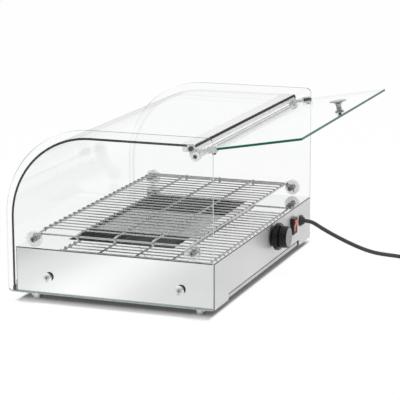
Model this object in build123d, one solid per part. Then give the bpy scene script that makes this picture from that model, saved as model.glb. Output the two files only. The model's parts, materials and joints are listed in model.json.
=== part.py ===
from build123d import *
import math
import os

os.makedirs("parts", exist_ok=True)

# Heated display case for a counter. Millimetres, Z up, X along the width,
# the curved front towards -Y and the service side with the controls towards +Y.
# The modelling frame has its origin on the floor under the middle of the base.

# Overall sizes
WIDTH = 554.0
HEIGHT = 306.0
SLIVER = 0.3
FIT = 0.1

# Base housing, folded from sheet
GLASS = 4.0
SHEET = 1.0
BASE_X = WIDTH / 2 - GLASS
BASE_Y = 183.0
BASE_Z = 12.5
DECK_Z = 93.0
BEND = 2.0
SIDE_FLANGE = 32.0
FRONT_FLANGE = 22.0

# Feet
FOOT_INSET_X = 17.0
FOOT_INSET_Y = 31.0
FOOT_X = BASE_X - FOOT_INSET_X
FOOT_Y = BASE_Y - FOOT_INSET_Y
FOOT_R = 10.0
FOOT_TAPER = 1.5
FOOT_RECESS_R = 4.6
FOOT_RECESS = 6.0
FOOT_SCREW_R = 2.0
FOOT_HEAD_R = 3.8
FOOT_HEAD = 2.4
NUT_H = 3.2
NUT_ACROSS = 7.0
FOOT_SCREW_PROUD = 1.0

# Well in the deck, with the heat deflector across its middle
WELL_X = 198.0
WELL_FRONT = -117.0
WELL_REAR = 80.0
WELL_DEPTH = 29.0
LINER_FLANGE = 8.0
DEFLECTOR_X = 80.0
DEFLECTOR_DROP = 5.0
DEFLECTOR_END = 12.0
DEFLECTOR_SIDE = 6.0

# Sheathed heating elements, one hairpin under each gap beside the deflector
ELEMENT_R = 4.0
ELEMENT_CLEAR = 60.0
ELEMENT_X = DEFLECTOR_X + ELEMENT_CLEAR
ELEMENT_Z = 52.0
ELEMENT_BEND = 22.0
ELEMENT_FRONT = WELL_FRONT + 45.0
ELEMENT_TAIL = 8.0
TERMINAL_R = 2.0
TERMINAL_LENGTH = 12.0
BEAD_R = 3.4
BEAD_LENGTH = 5.0
HANGER_Y = -40.0
HANGER_WIDTH = 12.0
HANGER_SHEET = 1.5
HANGER_RISE = 20.0
HANGER_REACH = 12.0

# Shield that keeps the wiring apart from the hot well and the tray
SHIELD_Y = WELL_REAR + 12.0
SHIELD_X = BASE_X - 11.0
SHIELD_LIP = 10.0

# Crumb tray and the slot it slides out of
SLOT_X = 202.0
SLOT_TOP = 24.0
TRAY_PLAY = 2.5
TRAY_X = SLOT_X - TRAY_PLAY
TRAY_SHEET = 0.8
TRAY_FRONT = -140.0
TRAY_RECESS = 1.5
TRAY_GAP = 1.6
TRAY_TOP = SLOT_TOP - TRAY_GAP
SHIELD_Z = SLOT_TOP + 1.5
TRAY_CORNER = 5.0
RUNNER_H = 8.0
RUNNER_FOOT = 10.0
RUNNER_FRONT = -BASE_Y + 11.0

# End glasses
GLASS_PROUD = 14.5
GLASS_FRONT = -BASE_Y - GLASS_PROUD
GLASS_REAR = BASE_Y - SHEET
FRONT_CURVE = 158.0
REAR_CORNER = 10.0
FRONT_LOW_CORNER = 9.0
REAR_LOW_CORNER = 2.0

# Curved front and top glass
CURVED_OUT = 4.5
CURVED_DROP = 15.5
CURVED_Y = -BASE_Y - CURVED_OUT
CURVED_TOP = HEIGHT - CURVED_DROP
CURVED_R = 147.5
CURVED_GAP = 0.6
CHANNEL_SHEET = 1.2
CHANNEL_FRONT_H = 9.0
CHANNEL_BACK_H = 20.0
CHANNEL_PLAY = 0.3

# Screws that hold the end glasses to the base
SIDE_SCREW_INSET = 61.0
SIDE_SCREW_Y = BASE_Y - SIDE_SCREW_INSET
SIDE_SCREW_Z = 43.0
CUP_R = 8.3
CUP_H = 2.2
CUP_HOLE_R = 2.7
SIDE_SCREW_R = 2.5
SIDE_HEAD_R = 5.0
SIDE_HEAD = 2.6
SIDE_SCREW_LENGTH = 15.0
GLASS_HOLE_R = 3.2
RIVET_R = 4.5
RIVET_LENGTH = 12.0

# Studs that carry the rack
STUD_INSET = 37.0
STUD_RISE = 16.5
STUD_Y = BASE_Y - STUD_INSET
STUD_Z = DECK_Z + STUD_RISE
BARREL_R = 5.0
BARREL_LENGTH = 14.0
DISC_R = 14.5
DISC_INNER = 2.0
DISC_OUTER = 2.5
STUD_SCREW_R = 2.0
STUD_HEAD_R = 5.0
STUD_HEAD = 2.4
STUD_THREAD = 9.0

# Wire rack
BAR_R = 1.75
CROSS_R = 2.0
LONG_R = 1.25
BAR_INSET = 11.0
BAR_X = BASE_X - BAR_INSET
CROSS_COUNT = 5
CROSS_INSET = 7.0
CROSS_REACH = STUD_Y - CROSS_INSET
LONG_COUNT = 25
LONG_INSET = 19.6
LONG_PITCH = 2 * (BAR_X - LONG_INSET) / (LONG_COUNT - 1)
HOOK_BEND = 4.5
HOOK_DROP = 13.0

# Top rail, its seal and end plates
RAIL_INSET = 33.0
RAIL_WIDTH = 22.0
RAIL_DROP = 12.0
RAIL_HEIGHT = 14.0
RAIL_REAR = GLASS_REAR - RAIL_INSET
RAIL_FRONT = RAIL_REAR - RAIL_WIDTH
RAIL_TOP = HEIGHT - RAIL_DROP
RAIL_BOTTOM = RAIL_TOP - RAIL_HEIGHT
RAIL_WALL = 1.5
RAIL_POCKET = 8.5
POCKET_PLAY = 0.5
CURVED_REAR = RAIL_FRONT + RAIL_POCKET - POCKET_PLAY
BOSS_Y = RAIL_REAR - 10.4
SEAL_H = 5.0
SEAL_LIP = 1.0
SEAL_TOP = RAIL_TOP - SEAL_LIP
SEAL_BOTTOM = SEAL_TOP - SEAL_H
SEAL_GROOVE = 1.6
SEAL_PROUD = 1.4
PLATE_THICK = 3.2
PLATE_PLAY = 0.2
PLATE_LOBE = 8.0
RAIL_END = BASE_X - PLATE_PLAY - PLATE_THICK - FIT
RAIL_SCREW_Y = RAIL_REAR - 4.8
RAIL_SCREW_Z = RAIL_TOP - 7.4
RAIL_SCREW_R = 2.0
RAIL_SCREW_LENGTH = 16.0
RAIL_HEAD_R = 4.2
RAIL_HEAD = 2.6
WASHER_R = 6.5
WASHER_H = 1.0
PLATE_SCREW_Y = RAIL_REAR - 8.0
PLATE_SCREW_Z = RAIL_BOTTOM + 3.6
PLATE_SCREW_R = 1.25
PLATE_SCREW_LENGTH = 10.0
PLATE_HEAD_R = 2.4
PLATE_HEAD = 1.4

# Hinge tube and the glass door that turns about it
HINGE_BACK = 0.5
HINGE_DROP = 7.5
HINGE_Y = RAIL_REAR + HINGE_BACK
HINGE_Z = RAIL_BOTTOM - HINGE_DROP
HINGE_R = 4.5
HINGE_WALL = 1.2
RUNNING = 0.06
DOOR_OPEN = 10.0
DOOR_SIDE = 7.0
DOOR_X = BASE_X - DOOR_SIDE
DOOR_START = 25.0
DOOR_OVERLAP = 5.5
DOOR_END = HINGE_Z - DECK_Z + DOOR_OVERLAP
DOOR_LIFT = 5.8
DOOR_CORNER = 2.0

# Clamps that grip the door glass, two per door
CLAMP_WIDTH = 8.0
CLAMP_GAP = 1.0
CLAMP_X = RAIL_END - CLAMP_GAP - CLAMP_WIDTH
CLAMP_HUB = 7.2
CLAMP_JAW = 2.6
CLAMP_PAD = 1.0
CLAMP_SPINE = 3.2
CLAMP_ROOT = 8.0
CLAMP_LENGTH = 38.0
CLAMP_PLAY = 0.4
ARM_R = 3.2
COLLAR_START = 14.0
COLLAR = 2.6
COLLAR_R = 4.0
PAD_START = DOOR_START + 1.0
PAD_LENGTH = 10.0
CLAMP_SCREW_R = 2.0
CLAMP_HEAD_R = 3.5
CLAMP_HEAD = 3.2

# Door knob
KNOB_INSET = 12.5
KNOB_H = 22.0
KNOB_R = 15.0
KNOB_RIM = 3.0
KNOB_CHAMFER = 0.8
KNOB_EDGE = 1.0
KNOB_WAIST = 0.4
KNOB_FLARE = 0.9
KNOB_NECK_R = 4.6
KNOB_FOOT_R = 8.0
KNOB_FOOT = 2.5
KNOB_SCREW_R = 2.0
KNOB_HOLE_R = 2.5
KNOB_HEAD_R = 4.5
KNOB_HEAD = 2.4
KNOB_THREAD = 8.0

# Thermostat and its dial knob
DIAL_X = -38.0
DIAL_Z = 69.5
DIAL_PLATE_R = 19.3
DIAL_PLATE = 6.5
DIAL_GAP = 0.5
SKIRT_R = 25.5
SKIRT = 9.0
DIAL_NECK_R = 18.0
DIAL_NECK = 1.6
CAP_R = 20.5
CAP_TAPER = 0.8
CAP = 14.0
CAP_FACE_R = 17.6
CAP_FACE = 1.0
NOTCHES = 24
NOTCH_R = 1.1
NOTCH_OUT = 0.25
NOTCH_LENGTH = 12.5
SHAFT_R = 3.0
SHAFT_IN_KNOB = 14.0
SHAFT_BEHIND = 12.0
THERMOSTAT_X = 42.0
THERMOSTAT_Z = 35.0
THERMOSTAT_Y = 22.0
BULB_R = 3.0
BULB_LENGTH = 70.0
BULB_Z = 78.0
CAPILLARY_R = 0.9
CAPILLARY_BEND = 8.0

# Rocker switch
SWITCH_X = -156.0
SWITCH_Z = 62.0
SWITCH_W = 23.0
SWITCH_H = 31.5
SWITCH_PROUD = 7.5
SWITCH_BODY_W = 20.5
SWITCH_BODY_H = 28.5
SWITCH_BODY = 27.0
SWITCH_EDGE = 1.5
ROCKER_W = 14.4
ROCKER_R = 13.2
ROCKER_PLAY = 0.3
ROCKER_TILT = 10.0
ROCKER_PROUD = 1.0
ROCKER_DISH = 1.5
ROCKER_BACK = 2.5
PIVOT_R = 1.5
PIVOT_PIN = 1.2
TAB_W = 6.3
TAB_T = 0.8
TAB = 8.0

# Cable gland, terminal block and inner wiring
GLAND_X = -208.0
GLAND_Z = 60.5
GLAND_HEX = 19.0
GLAND_FLANGE = 4.0
GLAND_DOME_R = 8.2
GLAND_TIP_R = 5.4
GLAND_PROUD = 9.0
GLAND_THREAD_R = 6.0
GLAND_THREAD = 12.0
GLAND_NUT = 5.0
BLOCK_X = -140.0
BLOCK_Y = 140.0
BLOCK_W = 34.0
BLOCK_D = 18.0
BLOCK_H = 15.0
BLOCK_WELL_R = 2.6
WIRE_R = 1.3
WIRE_BEND = 6.0
WIRE_OUT = 9.0

# Mains lead: diameter, height of its centre line on the floor, and coil
CORD_R = 3.75
CORD_Z = 3.95
COIL_X = -262.0
COIL_Y = 440.0
COIL_INNER = 31.0
COIL_PITCH = 8.4
COIL_START = 0.0
COIL_HALF_SWEEP = 945.0
COIL_STEPS = 10
COIL_TAIL = 34.0
COIL_LEAD = 8.0

# Plug, lying on its side
PLUG_W = 25.0
PLUG_BODY = 34.0
PLUG_NOSE = 24.0
PLUG_RELIEF = 24.0
PLUG_RELIEF_R = 6.2
BLADE_GAP = 12.7
BLADE_W = 6.3
BLADE_T = 1.5
BLADE = 16.0
EARTH_R = 2.4
EARTH_DROP = 9.0
EARTH = 19.0

# Derived places
POCKET_H = GLASS + 4 * FIT
GLASS_OUT = BASE_X + GLASS
FLANGE_TOP = BASE_Z + SHEET
PLATE_TOP = FLANGE_TOP + SHEET
DECK_UNDER = DECK_Z - SHEET
BAR_Z = STUD_Z + BARREL_R + SLIVER + BAR_R
CROSS_Z = BAR_Z + BAR_R + CROSS_R
LONG_Z = CROSS_Z + CROSS_R + LONG_R
CORD_TOP_Z = CORD_Z + COIL_PITCH
GLAND_END = BASE_Y + GLAND_PROUD


def box(x0, x1, y0, y1, z0, z1):
    """A block between two corners."""
    corner = (Align.MIN, Align.MIN, Align.MIN)
    return Pos(x0, y0, z0) * Box(x1 - x0, y1 - y0, z1 - z0, align=corner)


def rod_x(radius, x0, x1, y, z):
    """A round bar along X."""
    bar = Cylinder(radius, x1 - x0, align=(Align.CENTER, Align.CENTER, Align.MIN))
    return Pos(x0, y, z) * Rot(0, 90, 0) * bar


def rod_y(radius, y0, y1, x, z):
    """A round bar along Y."""
    bar = Cylinder(radius, y1 - y0, align=(Align.CENTER, Align.CENTER, Align.MIN))
    return Pos(x, y0, z) * Rot(-90, 0, 0) * bar


def rod_z(radius, z0, z1, x, y):
    """A round bar along Z."""
    bar = Cylinder(radius, z1 - z0, align=(Align.CENTER, Align.CENTER, Align.MIN))
    return Pos(x, y, z0) * bar


def prism_x(sketch, x0, x1):
    """A YZ outline extruded along X."""
    return extrude(Plane.YZ.offset(x0) * sketch, x1 - x0)


def turned(points, place):
    """A solid of revolution about local Z from (radius, height) points, then placed."""
    outline = Polyline(*[(r, 0, h) for r, h in points], close=True)
    return place * revolve(make_face(outline), Axis.Z, 360)


def hexagon(across, height, place):
    """A hexagonal block standing on local Z."""
    return place * extrude(RegularPolygon(across / 2, 6, major_radius=False), height)


def mirrored(make):
    """The same piece on the +X and the -X side."""
    piece = make()
    return [piece, mirror(piece, Plane.YZ)]


def tube_along(path, radius):
    """A round section swept along a path, square to its start."""
    start = Plane(origin=path @ 0, z_dir=path % 0)
    return sweep(start * Circle(radius), path=path)


def side_places(y_half, z):
    """The four places on the end glasses that lie y_half before and behind the middle."""
    return [(sx, sy * y_half, z) for sx in (1, -1) for sy in (1, -1)]


def both_sides(make, y_half, z):
    """A fastener made for the +X side at each of its four places."""
    pieces = []
    for sx, y, height in side_places(y_half, z):
        piece = make(y, height)
        pieces.append(piece if sx > 0 else mirror(piece, Plane.YZ))
    return pieces


# Base housing and what closes it

def base_housing():
    """Folded sheet shell: deck, four walls and in-turned bottom flanges."""
    outer = box(-BASE_X, BASE_X, -BASE_Y, BASE_Y, BASE_Z, DECK_Z)
    bends = outer.edges().filter_by(Axis.Z) + outer.edges().group_by(Axis.Z)[-1]
    outer = fillet(bends, BEND)
    in_x = BASE_X - SHEET
    in_y = BASE_Y - SHEET
    inner = box(-in_x, in_x, -in_y, in_y, BASE_Z - SHEET, DECK_UNDER)
    bends = inner.edges().filter_by(Axis.Z) + inner.edges().group_by(Axis.Z)[-1]
    shell = outer - fillet(bends, BEND - SHEET)
    for side in (1, -1):
        inner_edge = BASE_X - SIDE_FLANGE
        x0, x1 = sorted((side * inner_edge, side * (in_x + SHEET / 2)))
        shell += box(x0, x1, -in_y - SHEET / 2, in_y - SHEET, BASE_Z, FLANGE_TOP)
    front = -in_y - SHEET / 2
    shell += box(-in_x, in_x, front, -BASE_Y + FRONT_FLANGE, BASE_Z, FLANGE_TOP)
    shell -= box(-WELL_X, WELL_X, WELL_FRONT, WELL_REAR, DECK_UNDER - 1, DECK_Z + 1)
    shell -= box(-SLOT_X, SLOT_X, in_y - 2 * SHEET, BASE_Y + 1, BASE_Z - 1, SLOT_TOP)
    shell -= rod_y(SHAFT_R + 2, in_y - 1, BASE_Y + 1, DIAL_X, DIAL_Z)
    half_w = SWITCH_BODY_W / 2 + FIT
    half_h = SWITCH_BODY_H / 2 + FIT
    shell -= box(
        SWITCH_X - half_w, SWITCH_X + half_w, in_y - 1, BASE_Y + 1,
        SWITCH_Z - half_h, SWITCH_Z + half_h,
    )
    shell -= rod_y(GLAND_THREAD_R + FIT, in_y - 1, BASE_Y + 1, GLAND_X, GLAND_Z)
    for side, y, z in side_places(SIDE_SCREW_Y, SIDE_SCREW_Z):
        hole = rod_x(SIDE_SCREW_R + 0.5, in_x - 1, BASE_X + 1, y, z)
        shell -= hole if side > 0 else mirror(hole, Plane.YZ)
    for x, y in foot_places():
        shell -= rod_z(FOOT_SCREW_R + FIT, BASE_Z - 1, FLANGE_TOP + 1, x, y)
    return shell


def bottom_plate():
    """Flat plate that lies on the bottom flanges and carries the tray."""
    edge_x = BASE_X - SHEET - SLIVER
    edge_y = BASE_Y - SHEET - SLIVER
    plate = box(-edge_x, edge_x, -edge_y, edge_y, FLANGE_TOP, PLATE_TOP)
    for x, y in foot_places():
        plate -= rod_z(FOOT_SCREW_R + FIT, FLANGE_TOP - 1, PLATE_TOP + 1, x, y)
    return plate


def foot_places():
    return [(sx * FOOT_X, sy * FOOT_Y) for sx in (1, -1) for sy in (1, -1)]


def foot(x, y):
    """Round rubber foot, a little narrower at the floor, recessed for its screw."""
    outline = [
        (FOOT_SCREW_R + FIT, BASE_Z), (FOOT_R, BASE_Z), (FOOT_R, BASE_Z - 3),
        (FOOT_R - FOOT_TAPER, 0), (FOOT_RECESS_R, 0), (FOOT_RECESS_R, FOOT_RECESS),
        (FOOT_SCREW_R + FIT, FOOT_RECESS),
    ]
    return turned(outline, Pos(x, y, 0))


def foot_screw(x, y):
    """Pan-head screw up through the foot, the flange and the bottom plate."""
    top = PLATE_TOP + NUT_H + FOOT_SCREW_PROUD
    head = rod_z(FOOT_HEAD_R, FOOT_RECESS - FOOT_HEAD, FOOT_RECESS, x, y)
    head = fillet(head.edges().group_by(Axis.Z)[0], 1.0)
    return head + rod_z(FOOT_SCREW_R, FOOT_RECESS - 1, top, x, y)


def foot_nut(x, y):
    nut = hexagon(NUT_ACROSS, NUT_H, Pos(x, y, PLATE_TOP))
    return nut - rod_z(FOOT_SCREW_R + FIT / 2, PLATE_TOP - 1, PLATE_TOP + NUT_H + 1, x, y)


# Heated well

def well_liner():
    """Frame of sheet that hangs under the deck, flush with the well's edges."""
    bottom = DECK_Z - WELL_DEPTH
    wall = box(
        -WELL_X - SHEET, WELL_X + SHEET, WELL_FRONT - SHEET, WELL_REAR + SHEET,
        bottom, DECK_UNDER,
    )
    reach = LINER_FLANGE + SHEET
    wall += box(
        -WELL_X - reach, WELL_X + reach, WELL_FRONT - reach, WELL_REAR + reach,
        DECK_UNDER - SHEET, DECK_UNDER,
    )
    return wall - box(-WELL_X, WELL_X, WELL_FRONT, WELL_REAR, bottom - 1, DECK_Z)


def heat_deflector():
    """Plate across the middle of the well, its four edges turned down."""
    top = DECK_Z - DEFLECTOR_DROP
    front = WELL_FRONT + FIT
    rear = WELL_REAR - FIT
    plate = box(-DEFLECTOR_X, DEFLECTOR_X, front, rear, top - DEFLECTOR_END, top)
    plate = fillet(plate.edges().group_by(Axis.Z)[-1], SHEET)
    inside = box(
        -DEFLECTOR_X + SHEET, DEFLECTOR_X - SHEET, front + SHEET, rear - SHEET,
        top - DEFLECTOR_END - 1, top - SHEET,
    )
    low = top - DEFLECTOR_SIDE
    gap_y0 = front + 2 * SHEET
    gap_y1 = rear - 2 * SHEET
    trim = box(
        -DEFLECTOR_X - 1, DEFLECTOR_X + 1, gap_y0, gap_y1, top - DEFLECTOR_END - 1, low
    )
    return plate - inside - trim


def element_legs():
    """X of the two legs of the hairpin on the +X side."""
    return (ELEMENT_X - ELEMENT_BEND, ELEMENT_X + ELEMENT_BEND)


def heating_element():
    """Sheathed hairpin: two legs and a half turn at the front."""
    near, far = element_legs()
    tail = SHIELD_Y + SHEET + ELEMENT_TAIL
    leg_in = Line((near, tail, ELEMENT_Z), (near, ELEMENT_FRONT, ELEMENT_Z))
    tip = (ELEMENT_X, ELEMENT_FRONT - ELEMENT_BEND, ELEMENT_Z)
    turn = ThreePointArc(leg_in @ 1, tip, (far, ELEMENT_FRONT, ELEMENT_Z))
    leg_out = Line(turn @ 1, (far, tail, ELEMENT_Z))
    return tube_along(Wire([leg_in, turn, leg_out]), ELEMENT_R)


def element_terminals():
    """Ceramic bead and threaded pin on each leg, for the +X hairpin."""
    tail = SHIELD_Y + SHEET + ELEMENT_TAIL
    pins = []
    for x in element_legs():
        bead = rod_y(BEAD_R, tail, tail + BEAD_LENGTH, x, ELEMENT_Z)
        pins.append(bead + rod_y(TERMINAL_R, tail, tail + TERMINAL_LENGTH, x, ELEMENT_Z))
    return pins


def element_hanger():
    """Strip under the two legs, turned up against the liner's outer side."""
    low = ELEMENT_Z - ELEMENT_R - HANGER_SHEET
    near = element_legs()[0] - HANGER_REACH
    wall = WELL_X + SHEET
    y1 = HANGER_Y + HANGER_WIDTH
    strip = box(near, wall + HANGER_SHEET, HANGER_Y, y1, low, low + HANGER_SHEET)
    top = DECK_Z - WELL_DEPTH + HANGER_RISE
    return strip + box(wall, wall + HANGER_SHEET, HANGER_Y, y1, low, top)


def wiring_shield():
    """Folded partition: a wall behind the well, a floor over the tray and a rear lip."""
    rear = BASE_Y - SHEET
    wall_rear = SHIELD_Y + SHEET
    shield = box(-SHIELD_X, SHIELD_X, SHIELD_Y, wall_rear, SHIELD_Z, DECK_UNDER)
    shield += box(-SHIELD_X, SHIELD_X, SHIELD_Y, rear, SHIELD_Z, SHIELD_Z + SHEET)
    lip_top = SHIELD_Z + SHIELD_LIP
    shield += box(-SHIELD_X, SHIELD_X, rear - SHEET, rear, SHIELD_Z, lip_top)
    for x in element_legs():
        for side in (1, -1):
            hole = rod_y(
                ELEMENT_R + SLIVER, SHIELD_Y - 1, wall_rear + 1, side * x, ELEMENT_Z
            )
            shield -= hole
    shield -= rod_y(CAPILLARY_R + 1.5, SHIELD_Y - 1, wall_rear + 1, DIAL_X, BULB_Z)
    return shield


# Crumb tray

def crumb_tray():
    """Shallow open pan whose rear wall closes the slot, a little recessed."""
    bottom = PLATE_TOP + SLIVER
    rear = BASE_Y - TRAY_RECESS
    pan = box(-TRAY_X, TRAY_X, TRAY_FRONT, rear, bottom, TRAY_TOP)
    pan = fillet(pan.edges().filter_by(Axis.Z), TRAY_CORNER)
    t = TRAY_SHEET
    hollow = box(
        -TRAY_X + t, TRAY_X - t, TRAY_FRONT + t, rear - t, bottom + t, TRAY_TOP + 1
    )
    return pan - fillet(hollow.edges().filter_by(Axis.Z), TRAY_CORNER - t)


def tray_runner():
    """Angle strip beside the tray on the +X side."""
    x0 = TRAY_X + 2 * SLIVER
    rear = BASE_Y - 4 * SHEET
    leg = box(x0, x0 + SHEET, RUNNER_FRONT, rear, PLATE_TOP, PLATE_TOP + RUNNER_H)
    return leg + box(
        x0, x0 + RUNNER_FOOT, RUNNER_FRONT, rear, PLATE_TOP, PLATE_TOP + SHEET
    )


# Glass

def end_glass():
    """Flat glass on the +X side with the big front curve and its drilled holes."""
    mid_y = (GLASS_FRONT + GLASS_REAR) / 2
    mid_z = (BASE_Z + HEIGHT) / 2
    sheet = Rectangle(GLASS_REAR - GLASS_FRONT, HEIGHT - BASE_Z)
    corners = sheet.vertices()
    front = corners.group_by(Axis.X)[0].sort_by(Axis.Y)
    rear = corners.group_by(Axis.X)[-1].sort_by(Axis.Y)
    sheet = fillet(front[-1], FRONT_CURVE)
    sheet = fillet(nearest(sheet, rear[-1]), REAR_CORNER)
    sheet = fillet(nearest(sheet, front[0]), FRONT_LOW_CORNER)
    sheet = fillet(nearest(sheet, rear[0]), REAR_LOW_CORNER)
    glass = prism_x(Pos(mid_y, mid_z) * sheet, BASE_X, GLASS_OUT)
    holes = [(sy * SIDE_SCREW_Y, SIDE_SCREW_Z) for sy in (1, -1)]
    holes += [(sy * STUD_Y, STUD_Z) for sy in (1, -1)]
    holes += [(RAIL_SCREW_Y, RAIL_SCREW_Z)]
    for y, z in holes:
        glass -= rod_x(GLASS_HOLE_R, BASE_X - 1, GLASS_OUT + 1, y, z)
    return glass


def nearest(sketch, vertex):
    """The vertex of a sketch that lies where a given one was."""
    return sketch.vertices().sort_by_distance(vertex)[0]


def curved_outline(offset, y_end):
    """The curved glass's front, bend and top at an offset from its centre line."""
    radius = CURVED_R + offset
    centre_y = CURVED_Y + CURVED_R
    centre_z = CURVED_TOP - CURVED_R
    slant = math.sqrt(0.5) * radius
    bottom = BASE_Z + CHANNEL_SHEET + CHANNEL_PLAY
    low = (centre_y - radius, bottom)
    bend_start = (centre_y - radius, centre_z)
    bend_mid = (centre_y - slant, centre_z + slant)
    bend_end = (centre_y, centre_z + radius)
    return low, bend_start, bend_mid, bend_end, (y_end, centre_z + radius)


def curved_glass():
    """One sheet bent once: upright front, quarter bend and flat top."""
    a = curved_outline(GLASS / 2, CURVED_REAR)
    b = curved_outline(-GLASS / 2, CURVED_REAR)
    outline = [
        Line(a[0], a[1]), ThreePointArc(a[1], a[2], a[3]), Line(a[3], a[4]),
        Line(a[4], b[4]), Line(b[4], b[3]), ThreePointArc(b[3], b[2], b[1]),
        Line(b[1], b[0]), Line(b[0], a[0]),
    ]
    edge = BASE_X - CURVED_GAP
    return prism_x(make_face(outline), -edge, edge)


def front_channel():
    """Folded channel on the base's front that the curved glass stands in."""
    back = -BASE_Y
    t = CHANNEL_SHEET
    front = CURVED_Y - GLASS / 2 - CHANNEL_PLAY - t
    edge = BASE_X - CURVED_GAP
    channel = box(-edge, edge, front, back, BASE_Z, BASE_Z + t)
    channel += box(-edge, edge, front, front + t, BASE_Z, BASE_Z + CHANNEL_FRONT_H)
    return channel + box(-edge, edge, back - t, back, BASE_Z, BASE_Z + CHANNEL_BACK_H)


# Fasteners of the end glasses, made on the +X side

def cup_washer(y, z):
    """Raised countersunk washer under each side screw."""
    outline = [
        (CUP_HOLE_R, 0), (CUP_R, 0), (CUP_R, 0.6), (CUP_R - 1.8, CUP_H),
        (SIDE_HEAD_R + FIT, CUP_H), (CUP_HOLE_R, 0.5),
    ]
    return turned(outline, Pos(GLASS_OUT, y, z) * Rot(0, 90, 0))


def side_screw(y, z):
    """Raised countersunk screw through the washer, the glass and the base wall."""
    outline = [
        (0, -SIDE_SCREW_LENGTH), (SIDE_SCREW_R, -SIDE_SCREW_LENGTH), (SIDE_SCREW_R, 0.6),
        (SIDE_HEAD_R, CUP_H), (SIDE_HEAD_R - 1.2, CUP_H + 1.0), (0, CUP_H + 1.5),
    ]
    screw = turned(outline, Pos(GLASS_OUT, y, z) * Rot(0, 90, 0))
    return screw - phillips(GLASS_OUT + CUP_H + 1.6, y, z, SIDE_HEAD_R * 1.1)


def phillips(x, y, z, size):
    """The cross recess cut into a head that faces +X."""
    depth = 1.3
    wide = size * 0.2
    across = box(x - depth, x + 1, y - size / 2, y + size / 2, z - wide / 2, z + wide / 2)
    up = box(x - depth, x + 1, y - wide / 2, y + wide / 2, z - size / 2, z + size / 2)
    return across + up


def rivet_nut(y, z):
    """Threaded insert behind the base wall."""
    x1 = BASE_X - SHEET
    body = rod_x(RIVET_R, x1 - RIVET_LENGTH, x1, y, z)
    return body - rod_x(SIDE_SCREW_R + FIT / 2, x1 - RIVET_LENGTH - 1, x1 + 1, y, z)


def stud_barrel(y, z):
    """Round stud inside the glass that the rack's end bar lies on."""
    x1 = BASE_X - DISC_INNER
    x0 = x1 - BARREL_LENGTH
    barrel = rod_x(BARREL_R, x0, x1, y, z)
    barrel = chamfer(barrel.edges().group_by(Axis.X)[0], 0.8)
    return barrel - rod_x(STUD_SCREW_R + FIT / 2, x1 - STUD_THREAD - 1, x1 + 1, y, z)


def stud_disc(x0, thickness, y, z):
    disc = rod_x(DISC_R, x0, x0 + thickness, y, z)
    disc = fillet(disc.edges().filter_by(GeomType.CIRCLE), 0.6)
    return disc - rod_x(STUD_SCREW_R + FIT, x0 - 1, x0 + thickness + 1, y, z)


def stud_screw(y, z):
    """Pan-head screw through both discs and the glass into the stud."""
    face = GLASS_OUT + DISC_OUTER
    head = rod_x(STUD_HEAD_R, face, face + STUD_HEAD, y, z)
    head = fillet(head.edges().group_by(Axis.X)[-1], 1.2)
    screw = head + rod_x(
        STUD_SCREW_R, BASE_X - DISC_INNER - STUD_THREAD, face + 1, y, z
    )
    return screw - phillips(face + STUD_HEAD + 0.1, y, z, STUD_HEAD_R * 1.2)


# Wire rack, lifted off as one piece

def rack_end_bar():
    """Bar along Y on the +X side that ends in a hook behind each stud."""
    leg_y = STUD_Y + BARREL_R + SLIVER + BAR_R
    low = BAR_Z - HOOK_DROP
    points = [
        (BAR_X, -leg_y, low), (BAR_X, -leg_y, BAR_Z), (BAR_X, leg_y, BAR_Z),
        (BAR_X, leg_y, low),
    ]
    return tube_along(Wire(FilletPolyline(*points, radius=HOOK_BEND).edges()), BAR_R)


def cross_wire(y):
    """Wire along X whose two ends curl over and under the end bars."""
    curl = BAR_R + CROSS_R
    under = CROSS_Z - 2 * curl
    top = Line((-BAR_X, y, CROSS_Z), (BAR_X, y, CROSS_Z))
    right = ThreePointArc(
        (BAR_X, y, CROSS_Z), (BAR_X + curl, y, BAR_Z), (BAR_X, y, under)
    )
    left = ThreePointArc(
        (-BAR_X, y, under), (-BAR_X - curl, y, BAR_Z), (-BAR_X, y, CROSS_Z)
    )
    return tube_along(Wire([left, top, right]), CROSS_R)


def cross_places():
    step = 2 * CROSS_REACH / (CROSS_COUNT - 1)
    return [-CROSS_REACH + i * step for i in range(CROSS_COUNT)]


def long_wire(x):
    """Thin wire along Y on top of the cross wires, its ends curled round the outer two."""
    curl = CROSS_R + LONG_R
    under = LONG_Z - 2 * curl
    front = ThreePointArc(
        (x, -CROSS_REACH, under), (x, -CROSS_REACH - curl, CROSS_Z), (x, -CROSS_REACH, LONG_Z)
    )
    top = Line((x, -CROSS_REACH, LONG_Z), (x, CROSS_REACH, LONG_Z))
    rear = ThreePointArc(
        (x, CROSS_REACH, LONG_Z), (x, CROSS_REACH + curl, CROSS_Z), (x, CROSS_REACH, under)
    )
    return tube_along(Wire([front, top, rear]), LONG_R)


def long_wires():
    first = -LONG_PITCH * (LONG_COUNT - 1) / 2
    return [long_wire(first + i * LONG_PITCH) for i in range(LONG_COUNT)]


# Top rail and hinge

def glass_pocket():
    """Outline of the slot that takes the curved glass's rear edge."""
    slot = Rectangle(RAIL_POCKET, POCKET_H)
    return Pos(RAIL_FRONT + RAIL_POCKET / 2, CURVED_TOP) * slot


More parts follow.
